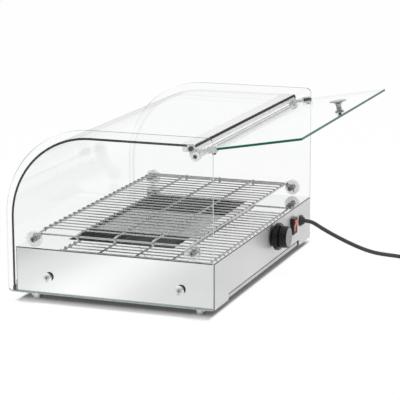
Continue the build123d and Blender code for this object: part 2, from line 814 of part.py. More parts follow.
def top_rail():
    """Extruded rail: glass pocket in front, seal groove behind, hollow below."""
    profile = Pos((RAIL_FRONT + RAIL_REAR) / 2, (RAIL_BOTTOM + RAIL_TOP) / 2) * (
        RectangleRounded(RAIL_REAR - RAIL_FRONT, RAIL_TOP - RAIL_BOTTOM, 1.0)
    )
    groove = Pos(RAIL_REAR, (SEAL_BOTTOM + SEAL_TOP) / 2) * Rectangle(
        2 * SEAL_GROOVE, SEAL_H
    )
    hollow_y = RAIL_FRONT + RAIL_WALL
    hollow_top = CURVED_TOP - POCKET_H / 2 - RAIL_WALL
    hollow_low = RAIL_BOTTOM + RAIL_WALL
    hollow = Pos((hollow_y + BOSS_Y) / 2, (hollow_low + hollow_top) / 2) * Rectangle(
        BOSS_Y - hollow_y, hollow_top - hollow_low
    )
    rail = prism_x(profile - glass_pocket() - groove - hollow, -RAIL_END, RAIL_END)
    for side in (1, -1):
        holes = [
            (RAIL_SCREW_R, RAIL_SCREW_Y, RAIL_SCREW_Z, RAIL_SCREW_LENGTH),
            (PLATE_SCREW_R, PLATE_SCREW_Y, PLATE_SCREW_Z, PLATE_SCREW_LENGTH),
        ]
        for radius, y, z, depth in holes:
            x0, x1 = sorted((side * (RAIL_END - depth), side * (RAIL_END + 1)))
            rail -= rod_x(radius + FIT / 2, x0, x1, y, z)
    return rail


def rail_seal():
    """Rubber strip in the rail's rear groove."""
    rear = RAIL_REAR + SEAL_PROUD
    front = RAIL_REAR - SEAL_GROOVE
    top = SEAL_TOP
    edge = RAIL_END - SEAL_LIP
    strip = box(-edge, edge, front, rear, SEAL_BOTTOM, top)
    outer = strip.edges().filter_by(Axis.X).group_by(Axis.Y)[-1]
    return fillet(outer, SEAL_PROUD * 0.8)


def rail_end_plate():
    """End plate on the +X side: rail outline above, lobe round the hinge tube below."""
    top = Pos((RAIL_FRONT + RAIL_REAR) / 2, (RAIL_BOTTOM + RAIL_TOP) / 2) * (
        RectangleRounded(RAIL_REAR - RAIL_FRONT, RAIL_TOP - RAIL_BOTTOM, 3.0)
    )
    lobe = Pos(HINGE_Y, HINGE_Z) * Circle(PLATE_LOBE)
    neck_z = (HINGE_Z + RAIL_SCREW_Z) / 2
    neck = Pos(HINGE_Y - PLATE_LOBE / 2 - 1, neck_z) * Rectangle(
        PLATE_LOBE + 2, RAIL_SCREW_Z - HINGE_Z
    )
    x0 = RAIL_END + FIT
    x1 = x0 + PLATE_THICK
    plate = prism_x(top + lobe + neck - glass_pocket(), x0, x1)
    plate -= rod_x(HINGE_R + RUNNING, x0 - 1, x1 + 1, HINGE_Y, HINGE_Z)
    plate -= rod_x(RAIL_SCREW_R + FIT, x0 - 1, x1 + 1, RAIL_SCREW_Y, RAIL_SCREW_Z)
    plate -= rod_x(PLATE_SCREW_R + FIT, x0 - 1, x1 + 1, PLATE_SCREW_Y, PLATE_SCREW_Z)
    head_x = x1 - PLATE_HEAD - FIT
    return plate - rod_x(PLATE_HEAD_R + FIT, head_x, x1 + 1, PLATE_SCREW_Y, PLATE_SCREW_Z)


def rail_screw():
    """Screw through washer, end glass and end plate into the rail, +X side."""
    face = GLASS_OUT + WASHER_H
    head = rod_x(RAIL_HEAD_R, face, face + RAIL_HEAD, RAIL_SCREW_Y, RAIL_SCREW_Z)
    head = fillet(head.edges().group_by(Axis.X)[-1], 1.2)
    shank_end = RAIL_END - RAIL_SCREW_LENGTH + 1
    screw = head + rod_x(RAIL_SCREW_R, shank_end, face + 1, RAIL_SCREW_Y, RAIL_SCREW_Z)
    recess = phillips(face + RAIL_HEAD + 0.1, RAIL_SCREW_Y, RAIL_SCREW_Z, RAIL_HEAD_R * 1.2)
    return screw - recess


def rail_washer():
    x1 = GLASS_OUT + WASHER_H
    disc = rod_x(WASHER_R, GLASS_OUT, x1, RAIL_SCREW_Y, RAIL_SCREW_Z)
    return disc - rod_x(RAIL_SCREW_R + FIT, GLASS_OUT - 1, x1 + 1, RAIL_SCREW_Y, RAIL_SCREW_Z)


def plate_screw():
    """Small screw that holds the end plate to the rail, head sunk in the plate."""
    x1 = RAIL_END + FIT + PLATE_THICK
    x0 = x1 - PLATE_HEAD
    head = rod_x(PLATE_HEAD_R, x0, x1, PLATE_SCREW_Y, PLATE_SCREW_Z)
    end = RAIL_END - PLATE_SCREW_LENGTH + 1
    screw = head + rod_x(PLATE_SCREW_R, end, x0 + 0.5, PLATE_SCREW_Y, PLATE_SCREW_Z)
    return screw - phillips(x1 + 0.5, PLATE_SCREW_Y, PLATE_SCREW_Z, PLATE_HEAD_R * 1.3)


def hinge_tube():
    """Tube between the end plates that the door turns about."""
    end = RAIL_END + FIT + PLATE_THICK
    tube = rod_x(HINGE_R, -end, end, HINGE_Y, HINGE_Z)
    return tube - rod_x(HINGE_R - HINGE_WALL, -end - 1, end + 1, HINGE_Y, HINGE_Z)


# Door, modelled level about the hinge axis and then opened

def open_door(piece):
    """From the level door frame, hinge at the origin, to its open place."""
    return Pos(0, HINGE_Y, HINGE_Z) * Rot(DOOR_OPEN, 0, 0) * piece


def closed_angle():
    """Joint angle in degrees at which the glass rests on the base's rear top edge."""
    corner_y = BASE_Y - BEND - HINGE_Y
    corner_z = DECK_Z - BEND - HINGE_Z
    reach = math.hypot(corner_y, corner_z)
    offset = DOOR_LIFT - BEND - SLIVER
    tilt = math.degrees(math.atan2(-corner_z, corner_y) + math.asin(offset / reach))
    return -(tilt + DOOR_OPEN)


def knob_place():
    return DOOR_END - KNOB_INSET


def door_glass():
    sheet = box(
        -DOOR_X, DOOR_X, DOOR_START, DOOR_END, DOOR_LIFT, DOOR_LIFT + GLASS
    )
    sheet = fillet(sheet.edges().filter_by(Axis.Z), DOOR_CORNER)
    return sheet - rod_z(KNOB_HOLE_R, 0, DOOR_LIFT + GLASS + 1, 0, knob_place())


def door_clamp():
    """Hub round the hinge tube, a collared round arm and a U that grips the glass, +X side."""
    x1 = CLAMP_X + CLAMP_WIDTH
    slot_low = DOOR_LIFT - CLAMP_PAD
    slot_high = DOOR_LIFT + GLASS + CLAMP_PAD
    low_jaw = slot_low - CLAMP_JAW
    arm_z = DOOR_LIFT + GLASS / 2
    hub = Circle(CLAMP_HUB)
    hub += Pos((CLAMP_SPINE + CLAMP_ROOT) / 2, (low_jaw + arm_z + ARM_R) / 2) * Rectangle(
        CLAMP_ROOT - CLAMP_SPINE, arm_z + ARM_R - low_jaw
    )
    clamp = prism_x(hub - Circle(HINGE_R + RUNNING), CLAMP_X, x1)
    grip_start = DOOR_START - CLAMP_SPINE
    grip = box(CLAMP_X, x1, grip_start, CLAMP_LENGTH, low_jaw, slot_high + CLAMP_JAW)
    grip = fillet(grip.edges().filter_by(Axis.X), 1.2)
    grip -= box(
        CLAMP_X - 1, DOOR_X + CLAMP_PLAY, DOOR_START - SLIVER, CLAMP_LENGTH + 1, slot_low, slot_high
    )
    clamp += grip
    clamp += rod_y(ARM_R, CLAMP_ROOT - 1, grip_start + 1, clamp_mid(), arm_z)
    clamp += rod_y(COLLAR_R, COLLAR_START, COLLAR_START + COLLAR, clamp_mid(), arm_z)
    hole = rod_z(CLAMP_SCREW_R, low_jaw - 1, slot_low + FIT, clamp_mid(), pad_mid())
    return clamp - hole


def clamp_mid():
    return CLAMP_X + CLAMP_WIDTH / 2


def pad_mid():
    return PAD_START + PAD_LENGTH / 2


def clamp_pads():
    """Rubber pads above and below the glass in the +X clamp."""
    y1 = PAD_START + PAD_LENGTH
    low = box(CLAMP_X, DOOR_X, PAD_START, y1, DOOR_LIFT - CLAMP_PAD, DOOR_LIFT)
    top = DOOR_LIFT + GLASS
    return [low, box(CLAMP_X, DOOR_X, PAD_START, y1, top, top + CLAMP_PAD)]


def clamp_screw():
    """Screw up through the lower jaw that presses the pad on the glass."""
    jaw = DOOR_LIFT - CLAMP_PAD - CLAMP_JAW
    head = rod_z(CLAMP_HEAD_R, jaw - CLAMP_HEAD, jaw, clamp_mid(), pad_mid())
    head = fillet(head.edges().group_by(Axis.Z)[0], 0.6)
    shank_top = DOOR_LIFT - CLAMP_PAD
    return head + rod_z(CLAMP_SCREW_R, jaw - 1, shank_top, clamp_mid(), pad_mid())


def door_knob():
    """Turned mushroom knob on the upper face of the glass, its cap a shallow dome."""
    rim = KNOB_H - KNOB_RIM
    edge = rim + KNOB_CHAMFER
    edge_top = edge + KNOB_EDGE
    waist = KNOB_H * KNOB_WAIST
    rise = KNOB_H - edge_top
    dome_r = (KNOB_R ** 2 + rise ** 2) / (2 * rise)
    half = math.asin(KNOB_R / dome_r) / 2
    dome_mid = (dome_r * math.sin(half), KNOB_H - dome_r * (1 - math.cos(half)))
    under_r = KNOB_R - KNOB_CHAMFER
    foot_mid = (KNOB_NECK_R + KNOB_FLARE, KNOB_FOOT + 3 * KNOB_CHAMFER)
    neck_mid = (KNOB_NECK_R + 3 * KNOB_FLARE, rim - 3 * KNOB_CHAMFER)
    profile = [
        Line((0, 0), (KNOB_FOOT_R, 0)),
        Line((KNOB_FOOT_R, 0), (KNOB_FOOT_R, KNOB_FOOT)),
        ThreePointArc((KNOB_FOOT_R, KNOB_FOOT), foot_mid, (KNOB_NECK_R, waist)),
        ThreePointArc((KNOB_NECK_R, waist), neck_mid, (under_r, rim)),
        Line((under_r, rim), (KNOB_R, edge)),
        Line((KNOB_R, edge), (KNOB_R, edge_top)),
        ThreePointArc((KNOB_R, edge_top), dome_mid, (0, KNOB_H)),
        Line((0, KNOB_H), (0, 0)),
    ]
    knob = revolve(Plane.XZ * make_face(profile), Axis.Z, 360)
    knob -= rod_z(KNOB_SCREW_R + FIT / 2, -1, KNOB_THREAD + SLIVER, 0, 0)
    return Pos(0, knob_place(), DOOR_LIFT + GLASS) * knob


def knob_screw():
    """Screw from under the glass up into the knob."""
    head = rod_z(KNOB_HEAD_R, DOOR_LIFT - KNOB_HEAD, DOOR_LIFT, 0, knob_place())
    head = fillet(head.edges().group_by(Axis.Z)[0], 1.2)
    top = DOOR_LIFT + GLASS + KNOB_THREAD
    return head + rod_z(KNOB_SCREW_R, DOOR_LIFT - 1, top, 0, knob_place())


# Controls on the rear panel

def on_panel(x, z):
    """Local Z points out of the rear panel at this place."""
    return Pos(x, BASE_Y, z) * Rot(-90, 0, 0)


def dial_plate():
    """Fixed escutcheon between the panel and the dial."""
    r = DIAL_PLATE_R
    h = DIAL_PLATE
    bore = SHAFT_R + 1
    outline = [(bore, 0), (r, 0), (r, h * 0.45), (r - 1.2, h * 0.8), (r - 4, h), (bore, h)]
    return turned(outline, on_panel(DIAL_X, DIAL_Z))


def dial_knob():
    """Dial skirt, neck and grip cap in one moulding, bored for the shaft."""
    h0 = DIAL_PLATE + DIAL_GAP
    h1 = h0 + SKIRT
    h2 = h1 + DIAL_NECK
    h3 = h2 + CAP
    bore = SHAFT_R + FIT / 4
    outline = [
        (bore, h0), (SKIRT_R - 1.5, h0), (SKIRT_R, h0 + 1.5), (SKIRT_R, h1 - 2.0),
        (SKIRT_R - 1.6, h1), (DIAL_NECK_R, h1), (DIAL_NECK_R, h2), (CAP_R - 0.8, h2),
        (CAP_R, h2 + 0.8), (CAP_R - CAP_TAPER, h3 - 1.0), (CAP_R - CAP_TAPER - 1.0, h3),
        (CAP_FACE_R + FIT, h3), (CAP_FACE_R + FIT, h3 - CAP_FACE), (0, h3 - CAP_FACE),
        (0, h0 + SHAFT_IN_KNOB), (bore, h0 + SHAFT_IN_KNOB),
    ]
    knob = turned(outline, Pos(0, 0, 0))
    for i in range(NOTCHES):
        turn = Rot(0, 0, 360 / NOTCHES * i)
        knob -= turn * rod_z(NOTCH_R, h2 - 1, h2 + NOTCH_LENGTH, CAP_R + NOTCH_OUT, 0)
    return on_panel(DIAL_X, DIAL_Z) * knob


def dial_face():
    """Thin disc let into the front of the cap."""
    base = DIAL_PLATE + DIAL_GAP + SKIRT + DIAL_NECK + CAP - CAP_FACE
    disc = Cylinder(CAP_FACE_R, CAP_FACE, align=(Align.CENTER, Align.CENTER, Align.MIN))
    return on_panel(DIAL_X, DIAL_Z) * Pos(0, 0, base) * disc


def dial_shaft():
    """Shaft that turns with the dial and runs back into the thermostat."""
    y0 = BASE_Y - SHEET - SHAFT_BEHIND
    y1 = BASE_Y + DIAL_PLATE + DIAL_GAP + SHAFT_IN_KNOB
    return rod_y(SHAFT_R, y0, y1 - FIT, DIAL_X, DIAL_Z)


def thermostat_body():
    """Switch block behind the panel with a blind bore for the shaft and two tabs."""
    y1 = BASE_Y - SHEET
    y0 = y1 - THERMOSTAT_Y
    half_x = THERMOSTAT_X / 2
    half_z = THERMOSTAT_Z / 2
    body = box(
        DIAL_X - half_x, DIAL_X + half_x, y0, y1, DIAL_Z - half_z, DIAL_Z + half_z
    )
    body = fillet(body.edges().filter_by(Axis.Y), 3.0)
    body -= rod_y(SHAFT_R + RUNNING, y1 - SHAFT_BEHIND - SLIVER, y1 + 1, DIAL_X, DIAL_Z)
    for side in (1, -1):
        x = DIAL_X + side * THERMOSTAT_X / 4
        body += box(
            x - TAB_W / 2, x + TAB_W / 2, y0 - TAB, y0 + 1,
            DIAL_Z - TAB_T / 2, DIAL_Z + TAB_T / 2,
        )
    return body


def thermostat_bulb():
    """Sensing bulb behind the liner, with the capillary back to the thermostat."""
    bulb_y = WELL_REAR + SHEET + BULB_R
    body_front = BASE_Y - SHEET - THERMOSTAT_Y
    x_end = DIAL_X - 2 * CAPILLARY_BEND
    bulb = rod_x(BULB_R, x_end - BULB_LENGTH, x_end, bulb_y, BULB_Z)
    points = [(x_end, bulb_y, BULB_Z), (DIAL_X, bulb_y, BULB_Z), (DIAL_X, body_front, BULB_Z)]
    lead = FilletPolyline(*points, radius=CAPILLARY_BEND / 2)
    return bulb + tube_along(Wire(lead.edges()), CAPILLARY_R)


def rocker_axis():
    """Y and Z of the rocker's pivot, set back so that its ends stay in the bezel."""
    return BASE_Y + 0.5, SWITCH_Z


def switch_housing():
    """Raised bezel and the snap-in body behind it, with the pocket of the rocker."""
    pivot_y, pivot_z = rocker_axis()
    half_w = SWITCH_W / 2
    half_h = SWITCH_H / 2
    bezel = box(
        SWITCH_X - half_w, SWITCH_X + half_w, BASE_Y, BASE_Y + SWITCH_PROUD,
        SWITCH_Z - half_h, SWITCH_Z + half_h,
    )
    bezel = fillet(bezel.edges().filter_by(Axis.Y), SWITCH_EDGE)
    bezel = chamfer(bezel.edges().group_by(Axis.Y)[-1], 0.8)
    half_w = SWITCH_BODY_W / 2
    half_h = SWITCH_BODY_H / 2
    back = BASE_Y - SWITCH_BODY
    body = bezel + box(
        SWITCH_X - half_w, SWITCH_X + half_w, back, BASE_Y + 1,
        SWITCH_Z - half_h, SWITCH_Z + half_h,
    )
    pocket_w = ROCKER_W / 2 + ROCKER_PLAY
    pocket_r = ROCKER_R + ROCKER_PLAY
    body -= rod_x(pocket_r, SWITCH_X - pocket_w, SWITCH_X + pocket_w, pivot_y, pivot_z)
    pin = ROCKER_W / 2 + PIVOT_PIN + ROCKER_PLAY / 2
    body -= rod_x(PIVOT_R + RUNNING, SWITCH_X - pin, SWITCH_X + pin, pivot_y, pivot_z)
    for side_x in (1, -1):
        for side_z in (1, -1):
            x = SWITCH_X + side_x * SWITCH_BODY_W / 4
            z = SWITCH_Z + side_z * SWITCH_BODY_H / 4
            body += box(x - TAB_T / 2, x + TAB_T / 2, back - TAB, back + 1, z - 3, z + 3)
    return body


def rocker():
    """Dished rocker with rounded ends and pivot pins, its upper end tipped out."""
    pivot_y, pivot_z = rocker_axis()
    face = BASE_Y + SWITCH_PROUD + ROCKER_PROUD - pivot_y
    end_z = math.sqrt(ROCKER_R ** 2 - face ** 2)
    back_z = math.sqrt(ROCKER_R ** 2 - ROCKER_BACK ** 2)
    outline = [
        Line((-ROCKER_BACK, -back_z), (-ROCKER_BACK, back_z)),
        ThreePointArc((-ROCKER_BACK, back_z), (0, ROCKER_R), (face, end_z)),
        Line((face, end_z), (face - ROCKER_DISH, 0)),
        Line((face - ROCKER_DISH, 0), (face, -end_z)),
        ThreePointArc((face, -end_z), (0, -ROCKER_R), (-ROCKER_BACK, -back_z)),
    ]
    half = ROCKER_W / 2
    piece = prism_x(make_face(outline), -half, half)
    piece += rod_x(PIVOT_R, -half - PIVOT_PIN, half + PIVOT_PIN, 0, 0)
    return Pos(SWITCH_X, pivot_y, pivot_z) * Rot(-ROCKER_TILT, 0, 0) * piece


def strain_relief():
    """Gland: threaded stem through the panel, hexagonal flange and tapered dome."""
    place = on_panel(GLAND_X, GLAND_Z)
    flange = hexagon(GLAND_HEX, GLAND_FLANGE, place)
    flange = chamfer(flange.edges().group_by(Axis.Y)[-1], 0.6)
    dome = turned(
        [
            (0, GLAND_FLANGE - 1), (GLAND_DOME_R, GLAND_FLANGE - 1),
            (GLAND_DOME_R, GLAND_FLANGE + 1.5), (GLAND_DOME_R - 0.8, GLAND_FLANGE + 3),
            (GLAND_TIP_R, GLAND_PROUD), (0, GLAND_PROUD),
        ],
        place,
    )
    stem = rod_y(GLAND_THREAD_R, BASE_Y - SHEET - GLAND_THREAD, BASE_Y + 1, GLAND_X, GLAND_Z)
    return flange + dome + stem


def gland_nut():
    inner = BASE_Y - SHEET
    place = Pos(GLAND_X, inner, GLAND_Z) * Rot(90, 0, 0)
    nut = hexagon(GLAND_HEX, GLAND_NUT, place)
    return nut - rod_y(GLAND_THREAD_R + FIT / 2, inner - GLAND_NUT - 1, inner + 1, GLAND_X, GLAND_Z)


def block_corner():
    return BLOCK_X - BLOCK_W / 2, BLOCK_Y, SHIELD_Z + SHEET


def block_ways():
    """X of the three ways of the terminal block."""
    return [BLOCK_X + (i - 1) * BLOCK_W / 3 for i in range(3)]


def terminal_block():
    """Three-way block on the shield's floor with a well over each screw."""
    x0, y0, z0 = block_corner()
    block = box(x0, x0 + BLOCK_W, y0, y0 + BLOCK_D, z0, z0 + BLOCK_H)
    block = fillet(block.edges().filter_by(Axis.Z), 1.5)
    for x in block_ways():
        block -= rod_z(BLOCK_WELL_R, z0 + BLOCK_H - 6, z0 + BLOCK_H + 1, x, y0 + BLOCK_D / 2)
    return block


def lead_route(start, start_out, end, end_out, between=()):
    """Points of a lead that leaves and enters square to the rear or the front."""
    x0, y0, z0 = start
    x1, y1, z1 = end
    first = (x0, y0 + start_out * WIRE_OUT, z0)
    last = (x1, y1 + end_out * WIRE_OUT, z1)
    return [start, first, *between, last, end]


def inner_wires():
    """Leads from the gland to the block, and on to switch, thermostat and elements."""
    x0, block_front, z0 = block_corner()
    block_rear = block_front + BLOCK_D
    ways = block_ways()
    way_z = z0 + BLOCK_H / 2
    stem = (GLAND_X, BASE_Y - SHEET - GLAND_THREAD, GLAND_Z)
    tab_y = BASE_Y - SWITCH_BODY - TAB
    low_tab = (SWITCH_X + SWITCH_BODY_W / 4, tab_y, SWITCH_Z - SWITCH_BODY_H / 4)
    high_tab = (SWITCH_X - SWITCH_BODY_W / 4, tab_y, SWITCH_Z + SWITCH_BODY_H / 4)
    dial_y = BASE_Y - SHEET - THERMOSTAT_Y - TAB
    dial_left = (DIAL_X - THERMOSTAT_X / 4, dial_y, DIAL_Z)
    dial_right = (DIAL_X + THERMOSTAT_X / 4, dial_y, DIAL_Z)
    pin_y = SHIELD_Y + SHEET + ELEMENT_TAIL + TERMINAL_LENGTH
    near, far = element_legs()
    over = ELEMENT_Z + WIRE_OUT
    bridge = [
        (-far + WIRE_OUT, pin_y + 1.3 * WIRE_OUT, over),
        (far - WIRE_OUT, pin_y + 1.3 * WIRE_OUT, over),
    ]
    routes = [
        lead_route(stem, -1, (ways[0], block_rear, way_z), 1),
        lead_route((ways[1], block_front, way_z), -1, low_tab, -1),
        lead_route(high_tab, -1, dial_left, -1),
        lead_route(dial_right, -1, (-near, pin_y, ELEMENT_Z), 1),
        lead_route((-far, pin_y, ELEMENT_Z), 1, (far, pin_y, ELEMENT_Z), 1, bridge),
        lead_route((near, pin_y, ELEMENT_Z), 1, (ways[2], block_front, way_z), -1),
    ]
    wires = []
    for points in routes:
        radii = [min(radius, WIRE_BEND) for radius in fillet_radii(points)]
        lead = FilletPolyline(*points, radius=radii)
        wires.append(tube_along(Wire(lead.edges()), WIRE_R))
    return wires


# Mains lead

def coil_start():
    """Start point and direction of the coil on the floor layer."""
    return coil_state(-COIL_HALF_SWEEP)


def coil_state(swept):
    """Point and direction on the coil, swept degrees from the middle of its climb."""
    angle = math.radians(COIL_START + COIL_HALF_SWEEP + swept)
    radius = COIL_INNER + COIL_PITCH * abs(swept) / 360
    slope = 0 if swept == 0 else math.copysign(COIL_PITCH / (2 * math.pi), swept)
    climb = min(max(swept / 90, -1), 1)
    height = CORD_Z + COIL_PITCH * (1 + climb) / 2
    rise = COIL_PITCH / math.pi * 2 if swept == 0 else 0
    out = Vector(math.cos(angle), math.sin(angle), 0)
    along = Vector(-math.sin(angle), math.cos(angle), 0)
    point = Vector(COIL_X, COIL_Y, height) + out * radius
    tangent = along * radius + out * slope + Vector(0, 0, rise)
    return point, tangent.normalized()


def biarc(p0, t0, p1, t1):
    """Two tangent arcs from one point and direction to another."""
    v = p1 - p0
    t = t0 + t1
    lean = 2 * (1 - t0.dot(t1))
    along = v.dot(t)
    d = (math.sqrt(along ** 2 + lean * v.dot(v)) - along) / lean
    q0 = p0 + t0 * d
    q1 = p1 - t1 * d
    middle = (q0 + q1) * 0.5
    first = Edge.make_tangent_arc(p0, t0, middle)
    second = Edge.make_tangent_arc(middle, (q1 - q0).normalized(), p1)
    return [first, second]


def coil_edges():
    """The coil's centre line: straight lead, spiral in, climb, spiral out, straight tail."""
    step = (COIL_HALF_SWEEP - 90) / COIL_STEPS
    spiral = [-COIL_HALF_SWEEP + i * step for i in range(COIL_STEPS + 1)]
    stops = spiral + [0] + [-s for s in reversed(spiral)]
    states = [coil_state(s) for s in stops]
    start, heading = states[0]
    edges = [Edge.make_line(start - heading * COIL_LEAD, start)]
    for (p0, t0), (p1, t1) in zip(states, states[1:]):
        edges += biarc(p0, t0, p1, t1)
    end, heading = states[-1]
    edges.append(Edge.make_line(end, end + heading * COIL_TAIL))
    return edges


def cord_route():
    """The free stretch, chosen by hand: out of the gland, down, along the floor."""
    start, heading = coil_start()
    end = start - heading * COIL_LEAD
    before = end - heading * 24
    return [
        (GLAND_X, GLAND_END, GLAND_Z),
        (GLAND_X, GLAND_END + 10.5, GLAND_Z),
        (-209, 214, 58),
        (-211.5, 233, 48.5),
        (-216, 262, 34),
        (-219.5, 292, 19),
        (-222, 320, 5.5),
        (-221.5, 346, CORD_Z),
        (-218, 370, CORD_Z),
        tuple(before),
        tuple(end),
    ]


def fillet_radii(points):
    """The largest tangent radius at each corner that both its runs allow."""
    radii = []
    for a, b, c in zip(points, points[1:], points[2:]):
        run_in = Vector(*b) - Vector(*a)
        run_out = Vector(*c) - Vector(*b)
        half_turn = math.radians(run_in.get_angle(run_out)) / 2
        radii.append(0.45 * min(run_in.length, run_out.length) / math.tan(half_turn))
    return radii


def power_cord():
    points = cord_route()
    radii = fillet_radii(points)
    path = Wire(FilletPolyline(*points, radius=radii).edges())
    tube = tube_along(path, CORD_R)
    print("cord radii", [round(r) for r in radii])
    print("cord runs", [round((Vector(*b) - Vector(*a)).length) for a, b in zip(points, points[1:])])
    report_tube("cord", tube, path)
    return tube


def cord_coil():
    path = Wire(coil_edges())
    tube = tube_along(path, CORD_R)
    report_tube("coil", tube, path)
    print("coil least gap", round(coil_gap(path), 2))
    return tube


def report_tube(name, tube, path):
    """Print the length, and the volume against section times length."""
    expected = math.pi * CORD_R ** 2 * path.length
    print(name, "length", round(path.length, 1), "volume ratio", round(tube.volume / expected, 4))


def coil_gap(path):
    """Least clear distance between stretches of the coil that aren't neighbours."""
    count = 900
    step = path.length / count
    points = [tuple(path @ (i / count)) for i in range(count + 1)]
    apart = int(6 * CORD_R / step) + 1
    least = min(
        math.dist(points[i], points[j])
        for i in range(count)
        for j in range(i + apart, count + 1)
    )
    return least - 2 * CORD_R


def plug_place():
    """Local Z along the plug towards its pins, from the end of the coil's tail."""
    end, heading = coil_state(COIL_HALF_SWEEP)
    flat = Plane(origin=end + heading * COIL_TAIL, x_dir=(0, 0, 1), z_dir=heading)
    return flat.location


def plug_half():
    """Half thickness of the plug, so that it lies on the floor."""
    return CORD_TOP_Z - (CORD_Z - CORD_R)


def plug():
    """Moulded plug: tapered strain relief and a body that widens to the pin face."""
    relief = turned(
        [
            (0, 0), (CORD_R + 0.6, 0), (PLUG_RELIEF_R, PLUG_RELIEF), (PLUG_RELIEF_R, PLUG_RELIEF + 2),
            (0, PLUG_RELIEF + 2),
        ],
        Pos(0, 0, 0),
    )
    h = 2 * plug_half()
    back = Pos(0, 0, PLUG_RELIEF) * RectangleRounded(h * 0.62, PLUG_NOSE * 0.62, 5)
    front = Pos(0, 0, PLUG_RELIEF + PLUG_BODY - 12) * RectangleRounded(h, PLUG_W, 6)
    face = Pos(0, 0, PLUG_RELIEF + PLUG_BODY) * RectangleRounded(h, PLUG_W, 6)
    body = loft([back, front], ruled=True) + loft([front, face], ruled=True)
    return plug_place() * (relief + body)


def plug_pins():
    """Two flat blades and a round earth pin."""
    z0 = PLUG_RELIEF + PLUG_BODY
    pins = []
    for side in (1, -1):
        y = side * BLADE_GAP / 2
        blade = box(-BLADE_W / 2 - 2, BLADE_W / 2 - 2, y - BLADE_T / 2, y + BLADE_T / 2, z0, z0 + BLADE)
        pins.append(blade)
    pins.append(rod_z(EARTH_R, z0, z0 + EARTH, EARTH_DROP - 2, 0))
    return [plug_place() * pin for pin in pins]


# Every sub-part by name

def build():
    parts = {}
    parts["base_housing"] = base_housing()
    parts["bottom_plate"] = bottom_plate()
    parts["feet"] = [foot(x, y) for x, y in foot_places()]
    parts["foot_screws"] = [foot_screw(x, y) for x, y in foot_places()]
    parts["foot_nuts"] = [foot_nut(x, y) for x, y in foot_places()]
    parts["well_liner"] = well_liner()
    parts["heat_deflector"] = heat_deflector()
    parts["heating_elements"] = mirrored(heating_element)
    pins = element_terminals()
    parts["element_terminals"] = pins + [mirror(pin, Plane.YZ) for pin in pins]
    parts["element_hangers"] = mirrored(element_hanger)
    parts["wiring_shield"] = wiring_shield()
    parts["crumb_tray"] = crumb_tray()
    parts["tray_runners"] = mirrored(tray_runner)
    glass = end_glass()
    parts["end_glass_right"] = glass
    parts["end_glass_left"] = mirror(glass, Plane.YZ)
    parts["curved_glass"] = curved_glass()
    parts["front_channel"] = front_channel()
    parts["cup_washers"] = both_sides(cup_washer, SIDE_SCREW_Y, SIDE_SCREW_Z)
    parts["side_screws"] = both_sides(side_screw, SIDE_SCREW_Y, SIDE_SCREW_Z)
    parts["rivet_nuts"] = both_sides(rivet_nut, SIDE_SCREW_Y, SIDE_SCREW_Z)
    parts["stud_barrels"] = both_sides(stud_barrel, STUD_Y, STUD_Z)
    parts["stud_discs_inner"] = both_sides(
        lambda y, z: stud_disc(BASE_X - DISC_INNER, DISC_INNER, y, z), STUD_Y, STUD_Z
    )
    parts["stud_discs_outer"] = both_sides(
        lambda y, z: stud_disc(GLASS_OUT, DISC_OUTER, y, z), STUD_Y, STUD_Z
    )
    parts["stud_screws"] = both_sides(stud_screw, STUD_Y, STUD_Z)
    parts["rack_end_bars"] = mirrored(rack_end_bar)
    parts["rack_cross_wires"] = [cross_wire(y) for y in cross_places()]
    parts["rack_long_wires"] = long_wires()
    parts["top_rail"] = top_rail()
    parts["rail_seal"] = rail_seal()
    parts["rail_end_plates"] = mirrored(rail_end_plate)
    parts["rail_screws"] = mirrored(rail_screw)
    parts["rail_washers"] = mirrored(rail_washer)
    parts["end_plate_screws"] = mirrored(plate_screw)
    parts["hinge_tube"] = hinge_tube()
    parts["door_glass"] = open_door(door_glass())
    parts["door_clamps"] = [open_door(c) for c in mirrored(door_clamp)]
    pads = clamp_pads()
    pads += [mirror(pad, Plane.YZ) for pad in pads]
    parts["clamp_pads"] = [open_door(pad) for pad in pads]
    parts["clamp_screws"] = [open_door(s) for s in mirrored(clamp_screw)]
    parts["door_knob"] = open_door(door_knob())
    parts["knob_screw"] = open_door(knob_screw())
    parts["thermostat_body"] = thermostat_body()
    parts["thermostat_bulb"] = thermostat_bulb()
    parts["thermostat_plate"] = dial_plate()
    parts["thermostat_shaft"] = dial_shaft()
    parts["thermostat_knob"] = dial_knob()
    parts["knob_face"] = dial_face()
    parts["switch_housing"] = switch_housing()
    parts["switch_rocker"] = rocker()
    parts["strain_relief"] = strain_relief()
    parts["gland_nut"] = gland_nut()
    parts["terminal_block"] = terminal_block()
    parts["inner_wires"] = inner_wires()
    parts["power_cord"] = power_cord()
    parts["cord_coil"] = cord_coil()
    parts["plug"] = plug()
    parts["plug_pins"] = plug_pins()
    return parts


def origin_y():
    """Y of the middle of the footprint, from the front of the glass to the open door."""
    turn = math.radians(DOOR_OPEN)
    edge = HINGE_Y + DOOR_END * math.cos(turn) - DOOR_LIFT * math.sin(turn)
    return (GLASS_FRONT + edge) / 2


def main():
    shift = Pos(0, -origin_y(), 0)
    for name, shape in build().items():
        pieces = shape if isinstance(shape, list) else [shape]
        placed = [shift * solid for piece in pieces for solid in piece.solids()]
        whole = placed[0] if len(placed) == 1 else Compound(children=placed)
        export_step(whole, f"parts/{name}.step")
        print(name, len(placed), "solids")
    print("door closes at", round(closed_angle(), 2), "degrees")


main()
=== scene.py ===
import json
import math

